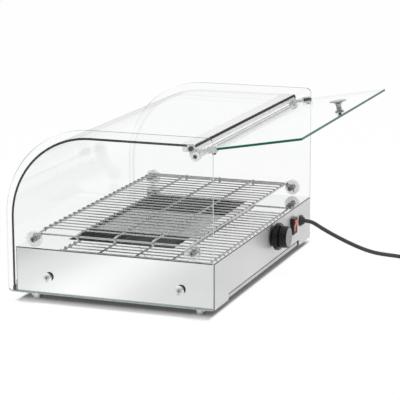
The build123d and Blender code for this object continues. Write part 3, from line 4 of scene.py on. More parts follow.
import bmesh
import bpy
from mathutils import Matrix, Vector

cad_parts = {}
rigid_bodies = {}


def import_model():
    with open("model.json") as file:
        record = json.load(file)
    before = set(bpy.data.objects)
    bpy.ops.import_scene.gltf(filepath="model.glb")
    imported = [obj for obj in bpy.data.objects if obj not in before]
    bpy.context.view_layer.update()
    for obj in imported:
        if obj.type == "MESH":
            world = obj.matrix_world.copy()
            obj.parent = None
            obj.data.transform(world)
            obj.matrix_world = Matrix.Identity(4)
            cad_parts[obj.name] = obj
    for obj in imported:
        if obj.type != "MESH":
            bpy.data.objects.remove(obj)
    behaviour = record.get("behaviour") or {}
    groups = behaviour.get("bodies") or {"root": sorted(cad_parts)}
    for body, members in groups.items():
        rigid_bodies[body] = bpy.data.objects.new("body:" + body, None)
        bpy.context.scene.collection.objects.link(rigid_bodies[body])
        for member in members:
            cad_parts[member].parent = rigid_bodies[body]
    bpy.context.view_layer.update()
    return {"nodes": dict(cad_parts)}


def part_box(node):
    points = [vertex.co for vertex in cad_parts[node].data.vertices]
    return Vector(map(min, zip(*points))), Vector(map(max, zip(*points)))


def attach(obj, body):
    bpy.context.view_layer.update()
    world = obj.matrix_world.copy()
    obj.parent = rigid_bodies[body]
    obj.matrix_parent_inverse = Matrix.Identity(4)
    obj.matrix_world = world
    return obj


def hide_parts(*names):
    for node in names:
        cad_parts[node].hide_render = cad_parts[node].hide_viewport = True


for old in list(bpy.data.objects):
    bpy.data.objects.remove(old)

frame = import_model()
NODES = frame["nodes"]
SCENE = bpy.context.scene

# The frame's origin lies this many millimetres from the middle of the base, towards the service side
ORIGIN_Y = 66.591


def at(x, y, z):
    """A point given in millimetres from the middle of the base, in the frame's metres."""
    return Vector((x, y - ORIGIN_Y, z)) / 1000


# Camera, solved from the photograph's straight edges: millimetres from the middle of the base, and degrees
CAMERA_PLACE = (2944.67, 1153.39, 842.19)
CAMERA_TURN = (77.50125, 0.21637, 110.47643)
CAMERA_SENSOR, CAMERA_LENS = 36, 159.114
CAMERA_SHIFT = (0.0068, -0.0141)
CAMERA_CLIP = (0.1, 60)


def make_camera():
    data = bpy.data.cameras.new("photo_camera")
    camera = bpy.data.objects.new("photo_camera", data)
    SCENE.collection.objects.link(camera)
    camera.location = at(*CAMERA_PLACE)
    camera.rotation_euler = [math.radians(angle) for angle in CAMERA_TURN]
    data.sensor_width = CAMERA_SENSOR
    data.lens = CAMERA_LENS
    data.shift_x, data.shift_y = CAMERA_SHIFT
    data.clip_start, data.clip_end = CAMERA_CLIP
    SCENE.camera = camera


# Pieces that are curves with a round section

def new_curve(name, radius, roundness, material):
    """A curve with no line yet; radius is in millimetres, and roundness is Blender's bevel resolution."""
    curve = bpy.data.curves.new(name, "CURVE")
    curve.dimensions = "3D"
    curve.bevel_depth = radius / 1000
    curve.bevel_resolution = roundness
    curve.use_fill_caps = True
    curve.materials.append(material)
    piece = bpy.data.objects.new(name, curve)
    SCENE.collection.objects.link(piece)
    return piece


def add_line(piece, kind, points):
    """A spline whose points are given in millimetres from the middle of the base."""
    spline = piece.data.splines.new(kind)
    spline.points.add(len(points) - 1)
    for target, point in zip(spline.points, points):
        target.co = (*at(*point), 1)
    return spline


# Mains lead, in millimetres: from the gland to the floor, then the put-away coil, as one spline
CORD_R, CORD_Z, CORD_ROUNDNESS = 3.75, 3.95, 5
CORD_FREE = [
    (-208, 192, 60.5), (-208, 202.5, 60.5), (-209, 213, 56), (-211, 228, 46.6),
    (-214.5, 250, 34.8), (-217.5, 272, 24.2), (-220, 293, 15.4), (-222, 313, 8.6),
    (-222.5, 332, 4.9), (-221, 352, CORD_Z), (-218, 372, CORD_Z),
]
COIL_X, COIL_Y = -262.0, 440.0
# Radius in the middle of the coil's climb to its second layer, width of a turn, and degrees from that middle
# to the climb's ends and to the coil's ends
COIL_INNER, COIL_PITCH, COIL_CLIMB, COIL_HALF = 31.0, 8.4, 90, 945.0
# Straight runs into the coil and out of it
COIL_RUN, COIL_LEAD, COIL_TAIL = 24.0, 8.0, 34.0
# Points on the coil, and how far out they lie, since the spline cuts inside them
COIL_COUNT, COIL_SWELL = 90, 1.017


def coil_state(swept, swell=1.0):
    """Point and heading on the coil, swept degrees from the middle of its climb."""
    angle = math.radians(COIL_HALF + swept)
    radius = (COIL_INNER + COIL_PITCH * abs(swept) / 360) * swell
    climb = min(max(swept / COIL_CLIMB, -1), 1)
    height = CORD_Z + COIL_PITCH * (1 + climb) / 2
    out = Vector((math.cos(angle), math.sin(angle), 0))
    along = Vector((-math.sin(angle), math.cos(angle), 0))
    slope = math.copysign(COIL_PITCH / (2 * math.pi), swept) if swept else 0
    heading = (along * radius + out * slope).normalized()
    return Vector((COIL_X, COIL_Y, height)) + out * radius, heading


def cord_points():
    start, heading = coil_state(-COIL_HALF)
    points = [Vector(point) for point in CORD_FREE]
    points += [start - heading * (COIL_LEAD + COIL_RUN), start - heading * COIL_LEAD, start]
    for i in range(1, COIL_COUNT):
        points.append(coil_state(-COIL_HALF + 2 * COIL_HALF * i / COIL_COUNT, COIL_SWELL)[0])
    end, heading = coil_state(COIL_HALF)
    points += [end, end + heading * COIL_TAIL / 2, end + heading * COIL_TAIL]
    return points


def make_cord(material):
    lead = new_curve("mains_lead", CORD_R, CORD_ROUNDNESS, material)
    spline = add_line(lead, "NURBS", cord_points())
    spline.order_u = 3
    spline.use_endpoint_u = True
    spline.resolution_u = 6
    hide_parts("power_cord", "cord_coil")
    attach(lead, "case")


# Long rack wires, in millimetres: curled down round the front cross wire, cut off flush over the rear one
WIRE_R, CROSS_R = 1.25, 2.0
WIRE_COUNT, WIRE_END = 25, 242.4
CROSS_Y, CROSS_Z = 139.0, 120.3
CURL_STEPS, WIRE_ROUNDNESS = 10, 4


def wire_line(x):
    """Points of one long wire, from under the front cross wire to the rear one."""
    curl = CROSS_R + WIRE_R
    turns = [math.pi * (0.5 + i / CURL_STEPS) for i in range(CURL_STEPS, -1, -1)]
    points = [(x, -CROSS_Y + curl * math.cos(a), CROSS_Z + curl * math.sin(a)) for a in turns]
    points.append((x, CROSS_Y + CROSS_R, CROSS_Z + curl))
    return points


def make_rack_wires(material):
    wires = new_curve("rack_wires", WIRE_R, WIRE_ROUNDNESS, material)
    for i in range(WIRE_COUNT):
        add_line(wires, "POLY", wire_line(WIRE_END * (2 * i / (WIRE_COUNT - 1) - 1)))
    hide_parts("rack_long_wires")
    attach(wires, "rack")


# Nodes. What a helper returns is an output that the next one takes.

WHITE = (1, 1, 1)


def grey(level, blue=0.0):
    """A grey; blue is what its blue has more than the rest."""
    return level, level, level + blue


def node(tree, kind, **values):
    made = tree.nodes.new(kind)
    for key, value in values.items():
        setattr(made, key, value)
    return made


def feed(tree, target, value):
    """Give an input another node's output, a colour or a number."""
    if isinstance(value, bpy.types.NodeSocket):
        tree.links.new(value, target)
    elif isinstance(value, tuple):
        target.default_value = (*value, 1)
    else:
        target.default_value = value


def calc(tree, operation, *values):
    made = node(tree, "ShaderNodeMath", operation=operation)
    for target, value in zip(made.inputs, values):
        feed(tree, target, value)
    return made.outputs[0]


def remap(tree, source, low, high, from_low=0.3, from_high=0.7):
    """low up to from_low and high from from_high on. Noise mostly lies between 0.3 and 0.7."""
    made = node(tree, "ShaderNodeMapRange")
    made.inputs["From Min"].default_value = from_low
    made.inputs["From Max"].default_value = from_high
    made.inputs["To Min"].default_value = low
    made.inputs["To Max"].default_value = high
    tree.links.new(source, made.inputs["Value"])
    return made.outputs["Result"]


def rise(tree, source, start, end):
    """0 up to start, 1 from end on."""
    return remap(tree, source, 0, 1, start, end)


def fall(tree, source, start, end):
    """1 up to start, 0 from end on."""
    return remap(tree, source, 1, 0, start, end)


def mix(tree, factor, a, b, kind="RGBA", blend="MIX"):
    """a where factor is 0 and b where it is 1, or a times b with MULTIPLY."""
    made = node(tree, "ShaderNodeMix", data_type=kind, blend_type=blend)
    for name, value in (("Factor", factor), ("A", a), ("B", b)):
        feed(tree, made.inputs[name], value)
    return made.outputs["Result"]


def mix_shader(tree, factor, a, b):
    made = node(tree, "ShaderNodeMixShader")
    for target, value in zip(made.inputs, (factor, a, b)):
        feed(tree, target, value)
    return made.outputs[0]


def plain_shader(tree, kind, color=WHITE, **values):
    """A one-colour shader of a kind, such as Emission; values are its other inputs."""
    made = node(tree, kind)
    feed(tree, made.inputs["Color"], color)
    for name, value in values.items():
        feed(tree, made.inputs[name], value)
    return made.outputs[0]


def grey_ramp(tree, source, stops, blend="LINEAR", blue=1.0):
    """Greys by position; blue is what each grey's blue is multiplied by."""
    made = node(tree, "ShaderNodeValToRGB")
    made.color_ramp.interpolation = blend
    elements = made.color_ramp.elements
    for position, _ in stops[1:-1]:
        elements.new(position)
    for stop, (position, level) in zip(elements, stops):
        stop.position = position
        stop.color = (level, level, level * blue, 1)
    tree.links.new(source, made.inputs["Fac"])
    return made.outputs["Color"]


def coordinate(tree, kind):
    """The surface's Object or Normal coordinates, or the world's Generated ones."""
    return node(tree, "ShaderNodeTexCoord").outputs[kind]


def parts(tree, vector):
    """A vector's X, Y and Z."""
    split = node(tree, "ShaderNodeSeparateXYZ")
    tree.links.new(vector, split.inputs["Vector"])
    return split.outputs


def noise(tree, scale, stretch=(1, 1, 1), detail=4.0):
    """Noise in object space, in features per metre, stretched along an axis."""
    mapping = node(tree, "ShaderNodeMapping")
    mapping.inputs["Scale"].default_value = stretch
    tree.links.new(coordinate(tree, "Object"), mapping.inputs["Vector"])
    made = node(tree, "ShaderNodeTexNoise")
    made.inputs["Scale"].default_value = scale
    made.inputs["Detail"].default_value = detail
    tree.links.new(mapping.outputs["Vector"], made.inputs["Vector"])
    return made.outputs["Fac"]


def dot(tree, vector, axis):
    along = node(tree, "ShaderNodeVectorMath", operation="DOT_PRODUCT")
    along.inputs[1].default_value = axis
    tree.links.new(vector, along.inputs[0])
    return along.outputs["Value"]


def axis_share(tree, axis):
    """How squarely the surface faces along an axis, either way: 1 straight on, 0 side on."""
    return calc(tree, "ABSOLUTE", dot(tree, coordinate(tree, "Normal"), axis))


def facing(tree, blend):
    """0 where the surface is seen straight on, 1 where it is seen at a grazing angle."""
    made = node(tree, "ShaderNodeLayerWeight")
    made.inputs["Blend"].default_value = blend
    return made.outputs["Facing"]


def bump(tree, shader, height, strength, distance=0.0002):
    made = node(tree, "ShaderNodeBump")
    made.inputs["Strength"].default_value = strength
    made.inputs["Distance"].default_value = distance
    tree.links.new(height, made.inputs["Height"])
    tree.links.new(made.outputs["Normal"], shader.inputs["Normal"])


def new_material(name):
    material = bpy.data.materials.new(name)
    material.use_nodes = True
    tree = material.node_tree
    return material, tree, tree.nodes["Principled BSDF"]


def show(tree, shader_output, end="Material Output"):
    tree.links.new(shader_output, tree.nodes[end].inputs["Surface"])


X_AXIS, Y_AXIS, Z_AXIS = (1, 0, 0), (0, 1, 0), (0, 0, 1)


# Materials

# How many times finer the roughness drifts than the colour
METAL_FINER, PLASTIC_FINER = 6, 8
FINE_DETAIL = 6.0
# Added to a plastic's lighter tone for each unit of its spread, so that a black one drifts too
BLACK_LIFT = 0.01


def drifting(tree, shader, tones, rough, scales, relief, stretch=(1, 1, 1)):
    """A slow drift between two tones, a finer drift between two roughnesses, and a faint grain."""
    slow = noise(tree, scales[0], stretch)
    feed(tree, shader.inputs["Base Color"], mix(tree, remap(tree, slow, 0, 1), *tones))
    fine = noise(tree, scales[1], stretch, FINE_DETAIL)
    feed(tree, shader.inputs["Roughness"], remap(tree, fine, *rough))
    if relief:
        bump(tree, shader, fine, relief)


def metal(name, color, spread, rough, rough_spread, scale, stretch=(1, 1, 1), relief=0.0, bare=1.0):
    """Metal, drawn along an axis where stretch says so.

    bare under 1 is for a satin finish that scatters part of the light.
    """
    material, tree, shader = new_material(name)
    shader.inputs["Metallic"].default_value = bare
    darker = tuple(c * (1 - spread) for c in color)
    roughs, scales = (rough, rough + rough_spread), (scale, scale * METAL_FINER)
    drifting(tree, shader, (darker, color), roughs, scales, relief, stretch)
    return material


def plastic(name, color, spread, rough, rough_spread, scale, relief=0.0, specular=0.5):
    """Moulded plastic or rubber."""
    material, tree, shader = new_material(name)
    shader.inputs["Specular IOR Level"].default_value = specular
    lighter = tuple(min(1, c * (1 + spread) + spread * BLACK_LIFT) for c in color)
    roughs, scales = (rough, rough + rough_spread), (scale, scale * PLASTIC_FINER)
    drifting(tree, shader, (color, lighter), roughs, scales, relief)
    return material


# What a pane lets through, and what it mirrors: straight on, and added towards a grazing angle
PANE_CLEAR = (0.993, 0.997, 0.995)
PANE_MIRROR, PANE_GRAZING, PANE_BLEND, PANE_POWER = 0.022, 0.4, 0.5, 5.0
PANE_ROUGH, EDGE_ROUGH, EDGE_SPECULAR = 0.02, (0.12, 0.3), 0.2
# Where a pane's face turns into its edge, by how squarely it faces across the sheet, and an edge into one
# that looks up or down, by how squarely it faces along Z
EDGE_TURN, FLAT_TURN = (0.45, 0.55), (0.35, 0.65)
# Features per metre of the drift of the edges' tone and roughness
EDGE_DRIFT, EDGE_GRAIN = 9.0, 300.0
# Tone of the ground lower rim of the end glasses, its height and blur in metres, and its share
ARRIS_TONE, ARRIS_HEIGHT, ARRIS_BLUR, ARRIS_SHARE = (0.50, 0.60, 0.52), 0.0022, 0.0002, 0.6


def sheet_normal(name):
    """The direction that the widest face of a flat sheet looks in."""
    return max(NODES[name].data.polygons, key=lambda face: face.area).normal


def pane(tree):
    """Shader that passes light straight on and mirrors a little of it."""
    clear = plain_shader(tree, "ShaderNodeBsdfTransparent", PANE_CLEAR)
    mirror = plain_shader(tree, "ShaderNodeBsdfGlossy", Roughness=PANE_ROUGH)
    steep = calc(tree, "POWER", facing(tree, PANE_BLEND), PANE_POWER)
    return mix_shader(tree, calc(tree, "MULTIPLY_ADD", steep, PANE_GRAZING, PANE_MIRROR), clear, mirror)


def glass(name, across, faces_across, edge, edge_dark, flat_edge_shade=None, inside=0.22, arris=None):
    """Clear sheet glass: a pane, and cut edges in the glass's own green.

    across is an axis; the sheet's faces look along it (faces_across) or its cut edges do.
    The edges' colour drifts between edge and edge_dark; flat_edge_shade is the tone of those that look up or
    down, painted shade that draws them darker than the upright edges.
    inside is what is left of an upright edge that is seen through the sheet.
    arris is the height up to which the ground lower rim shows.
    """
    material, tree, shader = new_material(name)
    shader.inputs["Specular IOR Level"].default_value = EDGE_SPECULAR
    is_edge = (fall if faces_across else rise)(tree, axis_share(tree, across), *EDGE_TURN)
    is_flat = rise(tree, axis_share(tree, Z_AXIS), *FLAT_TURN)
    where = node(tree, "ShaderNodeNewGeometry")
    behind = calc(tree, "SUBTRACT", where.outputs["Backfacing"], is_flat)
    shown = calc(tree, "MULTIPLY", is_edge, remap(tree, behind, 1.0, inside, 0, 1))
    tone = mix(tree, remap(tree, noise(tree, EDGE_DRIFT), 0, 1), edge_dark, edge)
    # painted shade: edges that look up or down take the darker flat_edge_shade tone
    if flat_edge_shade:
        tone = mix(tree, is_flat, tone, flat_edge_shade)
    if arris:
        height = parts(tree, coordinate(tree, "Object"))["Z"]
        rim = fall(tree, height, arris - ARRIS_BLUR, arris + ARRIS_BLUR)
        tone = mix(tree, rim, tone, ARRIS_TONE)
        shown = calc(tree, "MAXIMUM", shown, remap(tree, rim, 0, ARRIS_SHARE, 0, 1))
    feed(tree, shader.inputs["Base Color"], tone)
    feed(tree, shader.inputs["Roughness"], remap(tree, noise(tree, EDGE_GRAIN), *EDGE_ROUGH))
    whole = mix_shader(tree, shown, pane(tree), shader.outputs[0])
    # a clear sheet casts no shadow worth seeing
    shadow = node(tree, "ShaderNodeLightPath").outputs["Is Shadow Ray"]
    show(tree, mix_shader(tree, shadow, whole, plain_shader(tree, "ShaderNodeBsdfTransparent")))
    return material


# Greys of the housing by how squarely a face looks up or down: walls, rounded folds, deck; the folds' dark
# grey is a painted dark reflection along them
HOUSING_GREYS_AND_FOLD_SHADE = [(0.0, 0.95), (0.08, 0.95), (0.22, 0.10), (0.88, 0.10), (0.98, 0.90), (1.0, 0.90)]
HOUSING_BLUE, HOUSING_SHADES = 1.005, (0.95, 1.0)
# Noise: features per metre, stretch and detail
HOUSING_DRIFT, HOUSING_GRAIN = (5.0, (1, 1, 3)), (60.0, (0.15, 0.15, 3), 3.0)
DECK_GRAIN = (40.0, (1, 1, 1), FINE_DETAIL)
# The long walls, front and service side: share of the others' grey, which is painted shade on them, and
# bareness of the metal
LONG_WALL_SHADE, LONG_BARE = 0.92, 0.45
# Painted shade: a shadow line down the upright folds, and a dark underside
CORNER_FOLD_SHADE, UNDER_SHADE = 0.12, 0.10
SHORT_ROUGH, LONG_ROUGH, DECK_ROUGH = (0.13, 0.16), (0.34, 0.38), (0.025, 0.05)
# Where a surface starts to be and fully is a long wall, by its normal's Y; the deck, by its Z; an upright
# fold, by its X times its Y; and where it fully is and stops being the underside, by its Z
LONG_TURN, DECK_TURN, CORNER_TURN, UNDER_TURN = (0.6, 0.8), (0.8, 0.95), (0.12, 0.28), (-0.6, -0.3)


def housing_material():
    """Polished sheet: mirror-bright on top, satin on the walls, with a painted dark reflection along the
    folds, painted shade on the long walls and down the upright folds, and painted shade on the underside.
    """
    material, tree, shader = new_material("housing_steel")
    level = axis_share(tree, Z_AXIS)
    is_long = rise(tree, axis_share(tree, Y_AXIS), *LONG_TURN)
    feed(tree, shader.inputs["Metallic"], remap(tree, is_long, 1.0, LONG_BARE, 0, 1))
    tone = grey_ramp(tree, level, HOUSING_GREYS_AND_FOLD_SHADE, blue=HOUSING_BLUE)
    drift = remap(tree, noise(tree, *HOUSING_DRIFT), *HOUSING_SHADES)
    tone = mix(tree, 1.0, tone, drift, blend="MULTIPLY")
    # painted shade: a shadow line down the upright folds, and the long walls darker
    corner = calc(tree, "MULTIPLY", axis_share(tree, X_AXIS), axis_share(tree, Y_AXIS))
    wall = mix(tree, is_long, WHITE, grey(LONG_WALL_SHADE))
    folded = mix(tree, rise(tree, corner, *CORNER_TURN), wall, grey(CORNER_FOLD_SHADE))
    tone = mix(tree, 1.0, tone, folded, blend="MULTIPLY")
    # painted shade on the underside
    below = fall(tree, parts(tree, coordinate(tree, "Normal"))["Z"], *UNDER_TURN)
    feed(tree, shader.inputs["Base Color"], mix(tree, below, tone, grey(UNDER_SHADE)))
    drawn = noise(tree, *HOUSING_GRAIN)
    short, long = remap(tree, drawn, *SHORT_ROUGH), remap(tree, drawn, *LONG_ROUGH)
    satin = mix(tree, is_long, short, long, "FLOAT")
    deck = remap(tree, noise(tree, *DECK_GRAIN), *DECK_ROUGH)
    feed(tree, shader.inputs["Roughness"], mix(tree, rise(tree, level, *DECK_TURN), satin, deck, "FLOAT"))
    return material


# Greys of the tray's front and of the painted shade on its fold and inside, and the bareness of its metal
TRAY_GREY, TRAY_SHADE, TRAY_BARE = grey(0.74, 0.005), grey(0.08), 0.45
TRAY_GRAIN = (60.0, (0.15, 1, 3), 3.0)
# The painted shade on the fold starts this many metres under the tray's top; the front is where the normal's
# Y is over this
TRAY_FOLD_SHADE_DEPTH, TRAY_FRONT = (0.0019, 0.0014), (0.5, 0.8)


def tray_material():
    """Satin front, with painted shade on the fold along its upper edge and on its inside."""
    material, tree, shader = new_material("tray_steel")
    shader.inputs["Metallic"].default_value = TRAY_BARE
    height = parts(tree, coordinate(tree, "Object"))["Z"]
    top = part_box("crumb_tray")[1][2]
    fold = rise(tree, height, *(top - below for below in TRAY_FOLD_SHADE_DEPTH))
    not_front = fall(tree, parts(tree, coordinate(tree, "Normal"))["Y"], *TRAY_FRONT)
    # painted shade on the fold and on the inside
    dark = calc(tree, "MAXIMUM", fold, not_front)
    feed(tree, shader.inputs["Base Color"], mix(tree, dark, TRAY_GREY, TRAY_SHADE))
    feed(tree, shader.inputs["Roughness"], remap(tree, noise(tree, *TRAY_GRAIN), *LONG_ROUGH))
    return material


# How much a disc hides of what lies behind it, where its surface is seen straight on and at a grazing angle
DISC_HIDES, DISC_BLEND, DISC_TURN = (0.16, 0.76), 0.35, (0.1, 0.8)
DISC_DARK, DISC_LIGHT, DISC_CLEAR = grey(0.95), grey(0.98), grey(0.99)
DISC_DRIFT, DISC_GRAIN, DISC_ROUGH = 60.0, 400.0, (0.16, 0.28)


def disc_material():
    """Clear-white moulded nylon that lets part of what is behind it through."""
    material, tree, shader = new_material("nylon")
    drift = remap(tree, noise(tree, DISC_DRIFT), 0, 1)
    feed(tree, shader.inputs["Base Color"], mix(tree, drift, DISC_DARK, DISC_LIGHT))
    feed(tree, shader.inputs["Roughness"], remap(tree, noise(tree, DISC_GRAIN), *DISC_ROUGH))
    clear = plain_shader(tree, "ShaderNodeBsdfTransparent", DISC_CLEAR)
    hidden = remap(tree, facing(tree, DISC_BLEND), *DISC_HIDES, *DISC_TURN)
    show(tree, mix_shader(tree, hidden, clear, shader.outputs[0]))
    return material


# The floors of the screws' cross recesses lie nearer the middle of the base than this many metres
STUD_RECESS_X, SIDE_RECESS_X, RECESS_BLUR = 0.2812, 0.2799, 0.0001
# Painted shade in the cross recesses
RECESS_SHADE, RECESS_TURN = grey(0.01), (0.9, 0.98)
SCREW_GRAIN, SCREW_ROUGH_SPREAD = 400.0, 0.1


def screw_material(name, floor_x, color, rough):
    """Plated screw along X whose cross recess, nearer the middle than floor_x, is painted dark as shade."""
    material, tree, shader = new_material(name)
    shader.inputs["Metallic"].default_value = 1.0
    far = calc(tree, "ABSOLUTE", parts(tree, coordinate(tree, "Object"))["X"])
    deep = fall(tree, far, floor_x - RECESS_BLUR, floor_x + RECESS_BLUR)
    square = rise(tree, axis_share(tree, X_AXIS), *RECESS_TURN)
    recess = calc(tree, "MULTIPLY", deep, square)
    # painted shade in the recess
    feed(tree, shader.inputs["Base Color"], mix(tree, recess, color, RECESS_SHADE))
    drift = remap(tree, noise(tree, SCREW_GRAIN), rough, rough + SCREW_ROUGH_SPREAD)
    feed(tree, shader.inputs["Roughness"], drift)
    return material


# Middle of the dial's face in millimetres, and radians of its ring pattern per metre
DIAL_X, DIAL_Z, DIAL_RINGS = -38, 69.5, 9000.0
DIAL_DARK, DIAL_LIGHT = grey(0.30, 0.01), grey(0.52, 0.01)
DIAL_GRAIN, DIAL_ROUGH, DIAL_BARE = 900.0, (0.28, 0.42), 0.55


def dial_face_material():
    """Spun grey disc with fine rings."""
    material, tree, shader = new_material("dial_face")
    shader.inputs["Metallic"].default_value = DIAL_BARE
    offset = node(tree, "ShaderNodeMapping")
    offset.inputs["Location"].default_value = -at(DIAL_X, 0, DIAL_Z)
    tree.links.new(coordinate(tree, "Object"), offset.inputs["Vector"])
    flat = node(tree, "ShaderNodeVectorMath", operation="MULTIPLY")
    flat.inputs[1].default_value = (1, 0, 1)
    tree.links.new(offset.outputs["Vector"], flat.inputs[0])
    away = node(tree, "ShaderNodeVectorMath", operation="LENGTH")
    tree.links.new(flat.outputs["Vector"], away.inputs[0])
    rings = calc(tree, "SINE", calc(tree, "MULTIPLY", away.outputs["Value"], DIAL_RINGS))
    feed(tree, shader.inputs["Base Color"], mix(tree, rise(tree, rings, -1, 1), DIAL_DARK, DIAL_LIGHT))
    feed(tree, shader.inputs["Roughness"], remap(tree, noise(tree, DIAL_GRAIN), *DIAL_ROUGH))
    bump(tree, shader, rings, strength=0.15, distance=0.0001)
    return material


# Tones of the rail's sides and top, painted lighter on the sides and darker on top as light and shade, and
# how squarely a surface faces up where it counts as the top
RAIL_SIDE_PAINTED_LIGHT, RAIL_TOP_PAINTED_SHADE, RAIL_TURN = grey(0.93), grey(0.68, 0.005), (0.5, 0.8)
RAIL_GRAIN, RAIL_ROUGH, RAIL_BARE = (180.0, (0.02, 1, 1), FINE_DETAIL), (0.30, 0.38), 0.35


def rail_material():
    """Drawn aluminium, with painted light and shade: darker on top than on its sides."""
    material, tree, shader = new_material("rail_aluminium")
    shader.inputs["Metallic"].default_value = RAIL_BARE
    upward = rise(tree, axis_share(tree, Z_AXIS), *RAIL_TURN)
    feed(tree, shader.inputs["Base Color"], mix(tree, upward, RAIL_SIDE_PAINTED_LIGHT, RAIL_TOP_PAINTED_SHADE))
    drawn = noise(tree, *RAIL_GRAIN)
    feed(tree, shader.inputs["Roughness"], remap(tree, drawn, *RAIL_ROUGH))
    bump(tree, shader, drawn, strength=0.02)
    return material


# Colour, its spread, roughness, its spread, features per metre; then stretch, relief and bareness
METALS = {
    "liner_steel": (grey(0.62, 0.005), 0.12, 0.22, 0.14, 18.0, (1, 4, 4), 0.03),
    "deflector_steel": (grey(0.55, 0.005), 0.30, 0.20, 0.16, 14.0, (5, 1, 1), 0.04),
    # the well's liner painted near black as shade
    "well_liner_painted_shade": (grey(0.05), 0.3, 0.38, 0.2, 20.0, (1, 1, 1), 0.05),
    "element_sheath": ((0.05, 0.048, 0.045), 0.35, 0.42, 0.18, 60.0, (1, 1, 1), 0.1),
    # The chromes' greys differ part by part as painted light and shade: lit and shaded copies of one chrome
    "chrome": (grey(0.93, 0.005), 0.06, 0.05, 0.05, 40.0),
    "stud_chrome": (grey(0.32, 0.005), 0.08, 0.08, 0.06, 90.0),
    "knob_chrome": (grey(0.42, 0.005), 0.08, 0.05, 0.05, 60.0),
    "rack_chrome": (grey(0.57, 0.005), 0.12, 0.08, 0.08, 70.0),
    "clamp_chrome": (grey(0.74, 0.005), 0.12, 0.08, 0.06, 60.0, (1, 1, 1), 0.0, 0.6),
    "plate_nickel": (grey(0.94), 0.03, 0.16, 0.08, 60.0, (1, 1, 1), 0.0, 0.3),
    "hinge_steel": (grey(0.84, 0.005), 0.06, 0.38, 0.08, 40.0, (0.02, 1, 1), 0.02, 0.6),
    # the bottom plate painted dark as shade under the base
    "under_steel_painted_shade": (grey(0.22), 0.2, 0.5, 0.15, 20.0),
    "screw_steel": (grey(0.15), 0.15, 0.14, 0.1, 120.0),
    "foot_metal": (grey(0.80), 0.08, 0.08, 0.06, 60.0),
    "zinc_steel": (grey(0.72, -0.01), 0.12, 0.16, 0.14, 120.0, (1, 1, 1), 0.04),
    "pin_brass": ((0.74, 0.62, 0.36), 0.08, 0.2, 0.12, 90.0, (1, 1, 1), 0.03),
    "copper": ((0.72, 0.42, 0.28), 0.15, 0.28, 0.15, 60.0, (1, 1, 1), 0.04),
}

# Colour, its spread, roughness, its spread, features per metre; then relief and specular level
PLASTICS = {
    "ceramic": ((0.84, 0.82, 0.76), 0.05, 0.55, 0.15, 90.0, 0.1),
    "rubber_black": (grey(0.030), 0.25, 0.6, 0.2, 120.0, 0.15, 0.35),
    "black_gloss": (grey(0.004), 0.3, 0.07, 0.05, 80.0, 0.0, 0.3),
    "black_nylon": (grey(0.018), 0.3, 0.3, 0.12, 120.0, 0.06, 0.5),
    "body_phenolic": ((0.07, 0.06, 0.05), 0.2, 0.4, 0.15, 80.0, 0.06),
    "rocker_red": ((0.62, 0.015, 0.018), 0.12, 0.12, 0.08, 90.0, 0.02, 0.6),
    "block_white": (grey(0.80, -0.03), 0.05, 0.45, 0.12, 90.0, 0.05),
    "wire_sleeve": ((0.62, 0.60, 0.55), 0.1, 0.7, 0.15, 300.0, 0.2),
    "cord_grey": (grey(0.045, 0.002), 0.2, 0.40, 0.14, 90.0, 0.08, 0.4),
    "plug_black": (grey(0.035), 0.25, 0.42, 0.14, 120.0, 0.1, 0.45),
}

MATERIALS = {name: metal(name, *row) for name, row in METALS.items()}
MATERIALS.update({name: plastic(name, *row) for name, row in PLASTICS.items()})
MATERIALS.update({
    "housing_steel": housing_material(),
    "tray_steel": tray_material(),
    # the two screws' platings differ in grey as painted light and shade
    "stud_screw": screw_material("stud_screw", STUD_RECESS_X, grey(0.34), 0.12),
    "cup_screw": screw_material("cup_screw", SIDE_RECESS_X, grey(0.62), 0.10),
    "rail_aluminium": rail_material(),
    "nylon": disc_material(),
    "dial_face": dial_face_material(),
    "glass_end": glass(
        "glass_end", X_AXIS, True, edge=(0.80, 0.86, 0.81), edge_dark=(0.62, 0.70, 0.64),
        # the near-black flat_edge_shade is painted shade on the edges that look up or down
        flat_edge_shade=(0.010, 0.016, 0.010), arris=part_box("end_glass_right")[0][2] + ARRIS_HEIGHT,
    ),
    "glass_curved": glass(
        "glass_curved", X_AXIS, False, edge=(0.045, 0.064, 0.048), edge_dark=(0.020, 0.030, 0.022),
        inside=0.10,
    ),
    "glass_door": glass(
        "glass_door", sheet_normal("door_glass"), True, edge=(0.001, 0.160, 0.100),
        edge_dark=(0.001, 0.095, 0.060), inside=0.10,
    ),
})

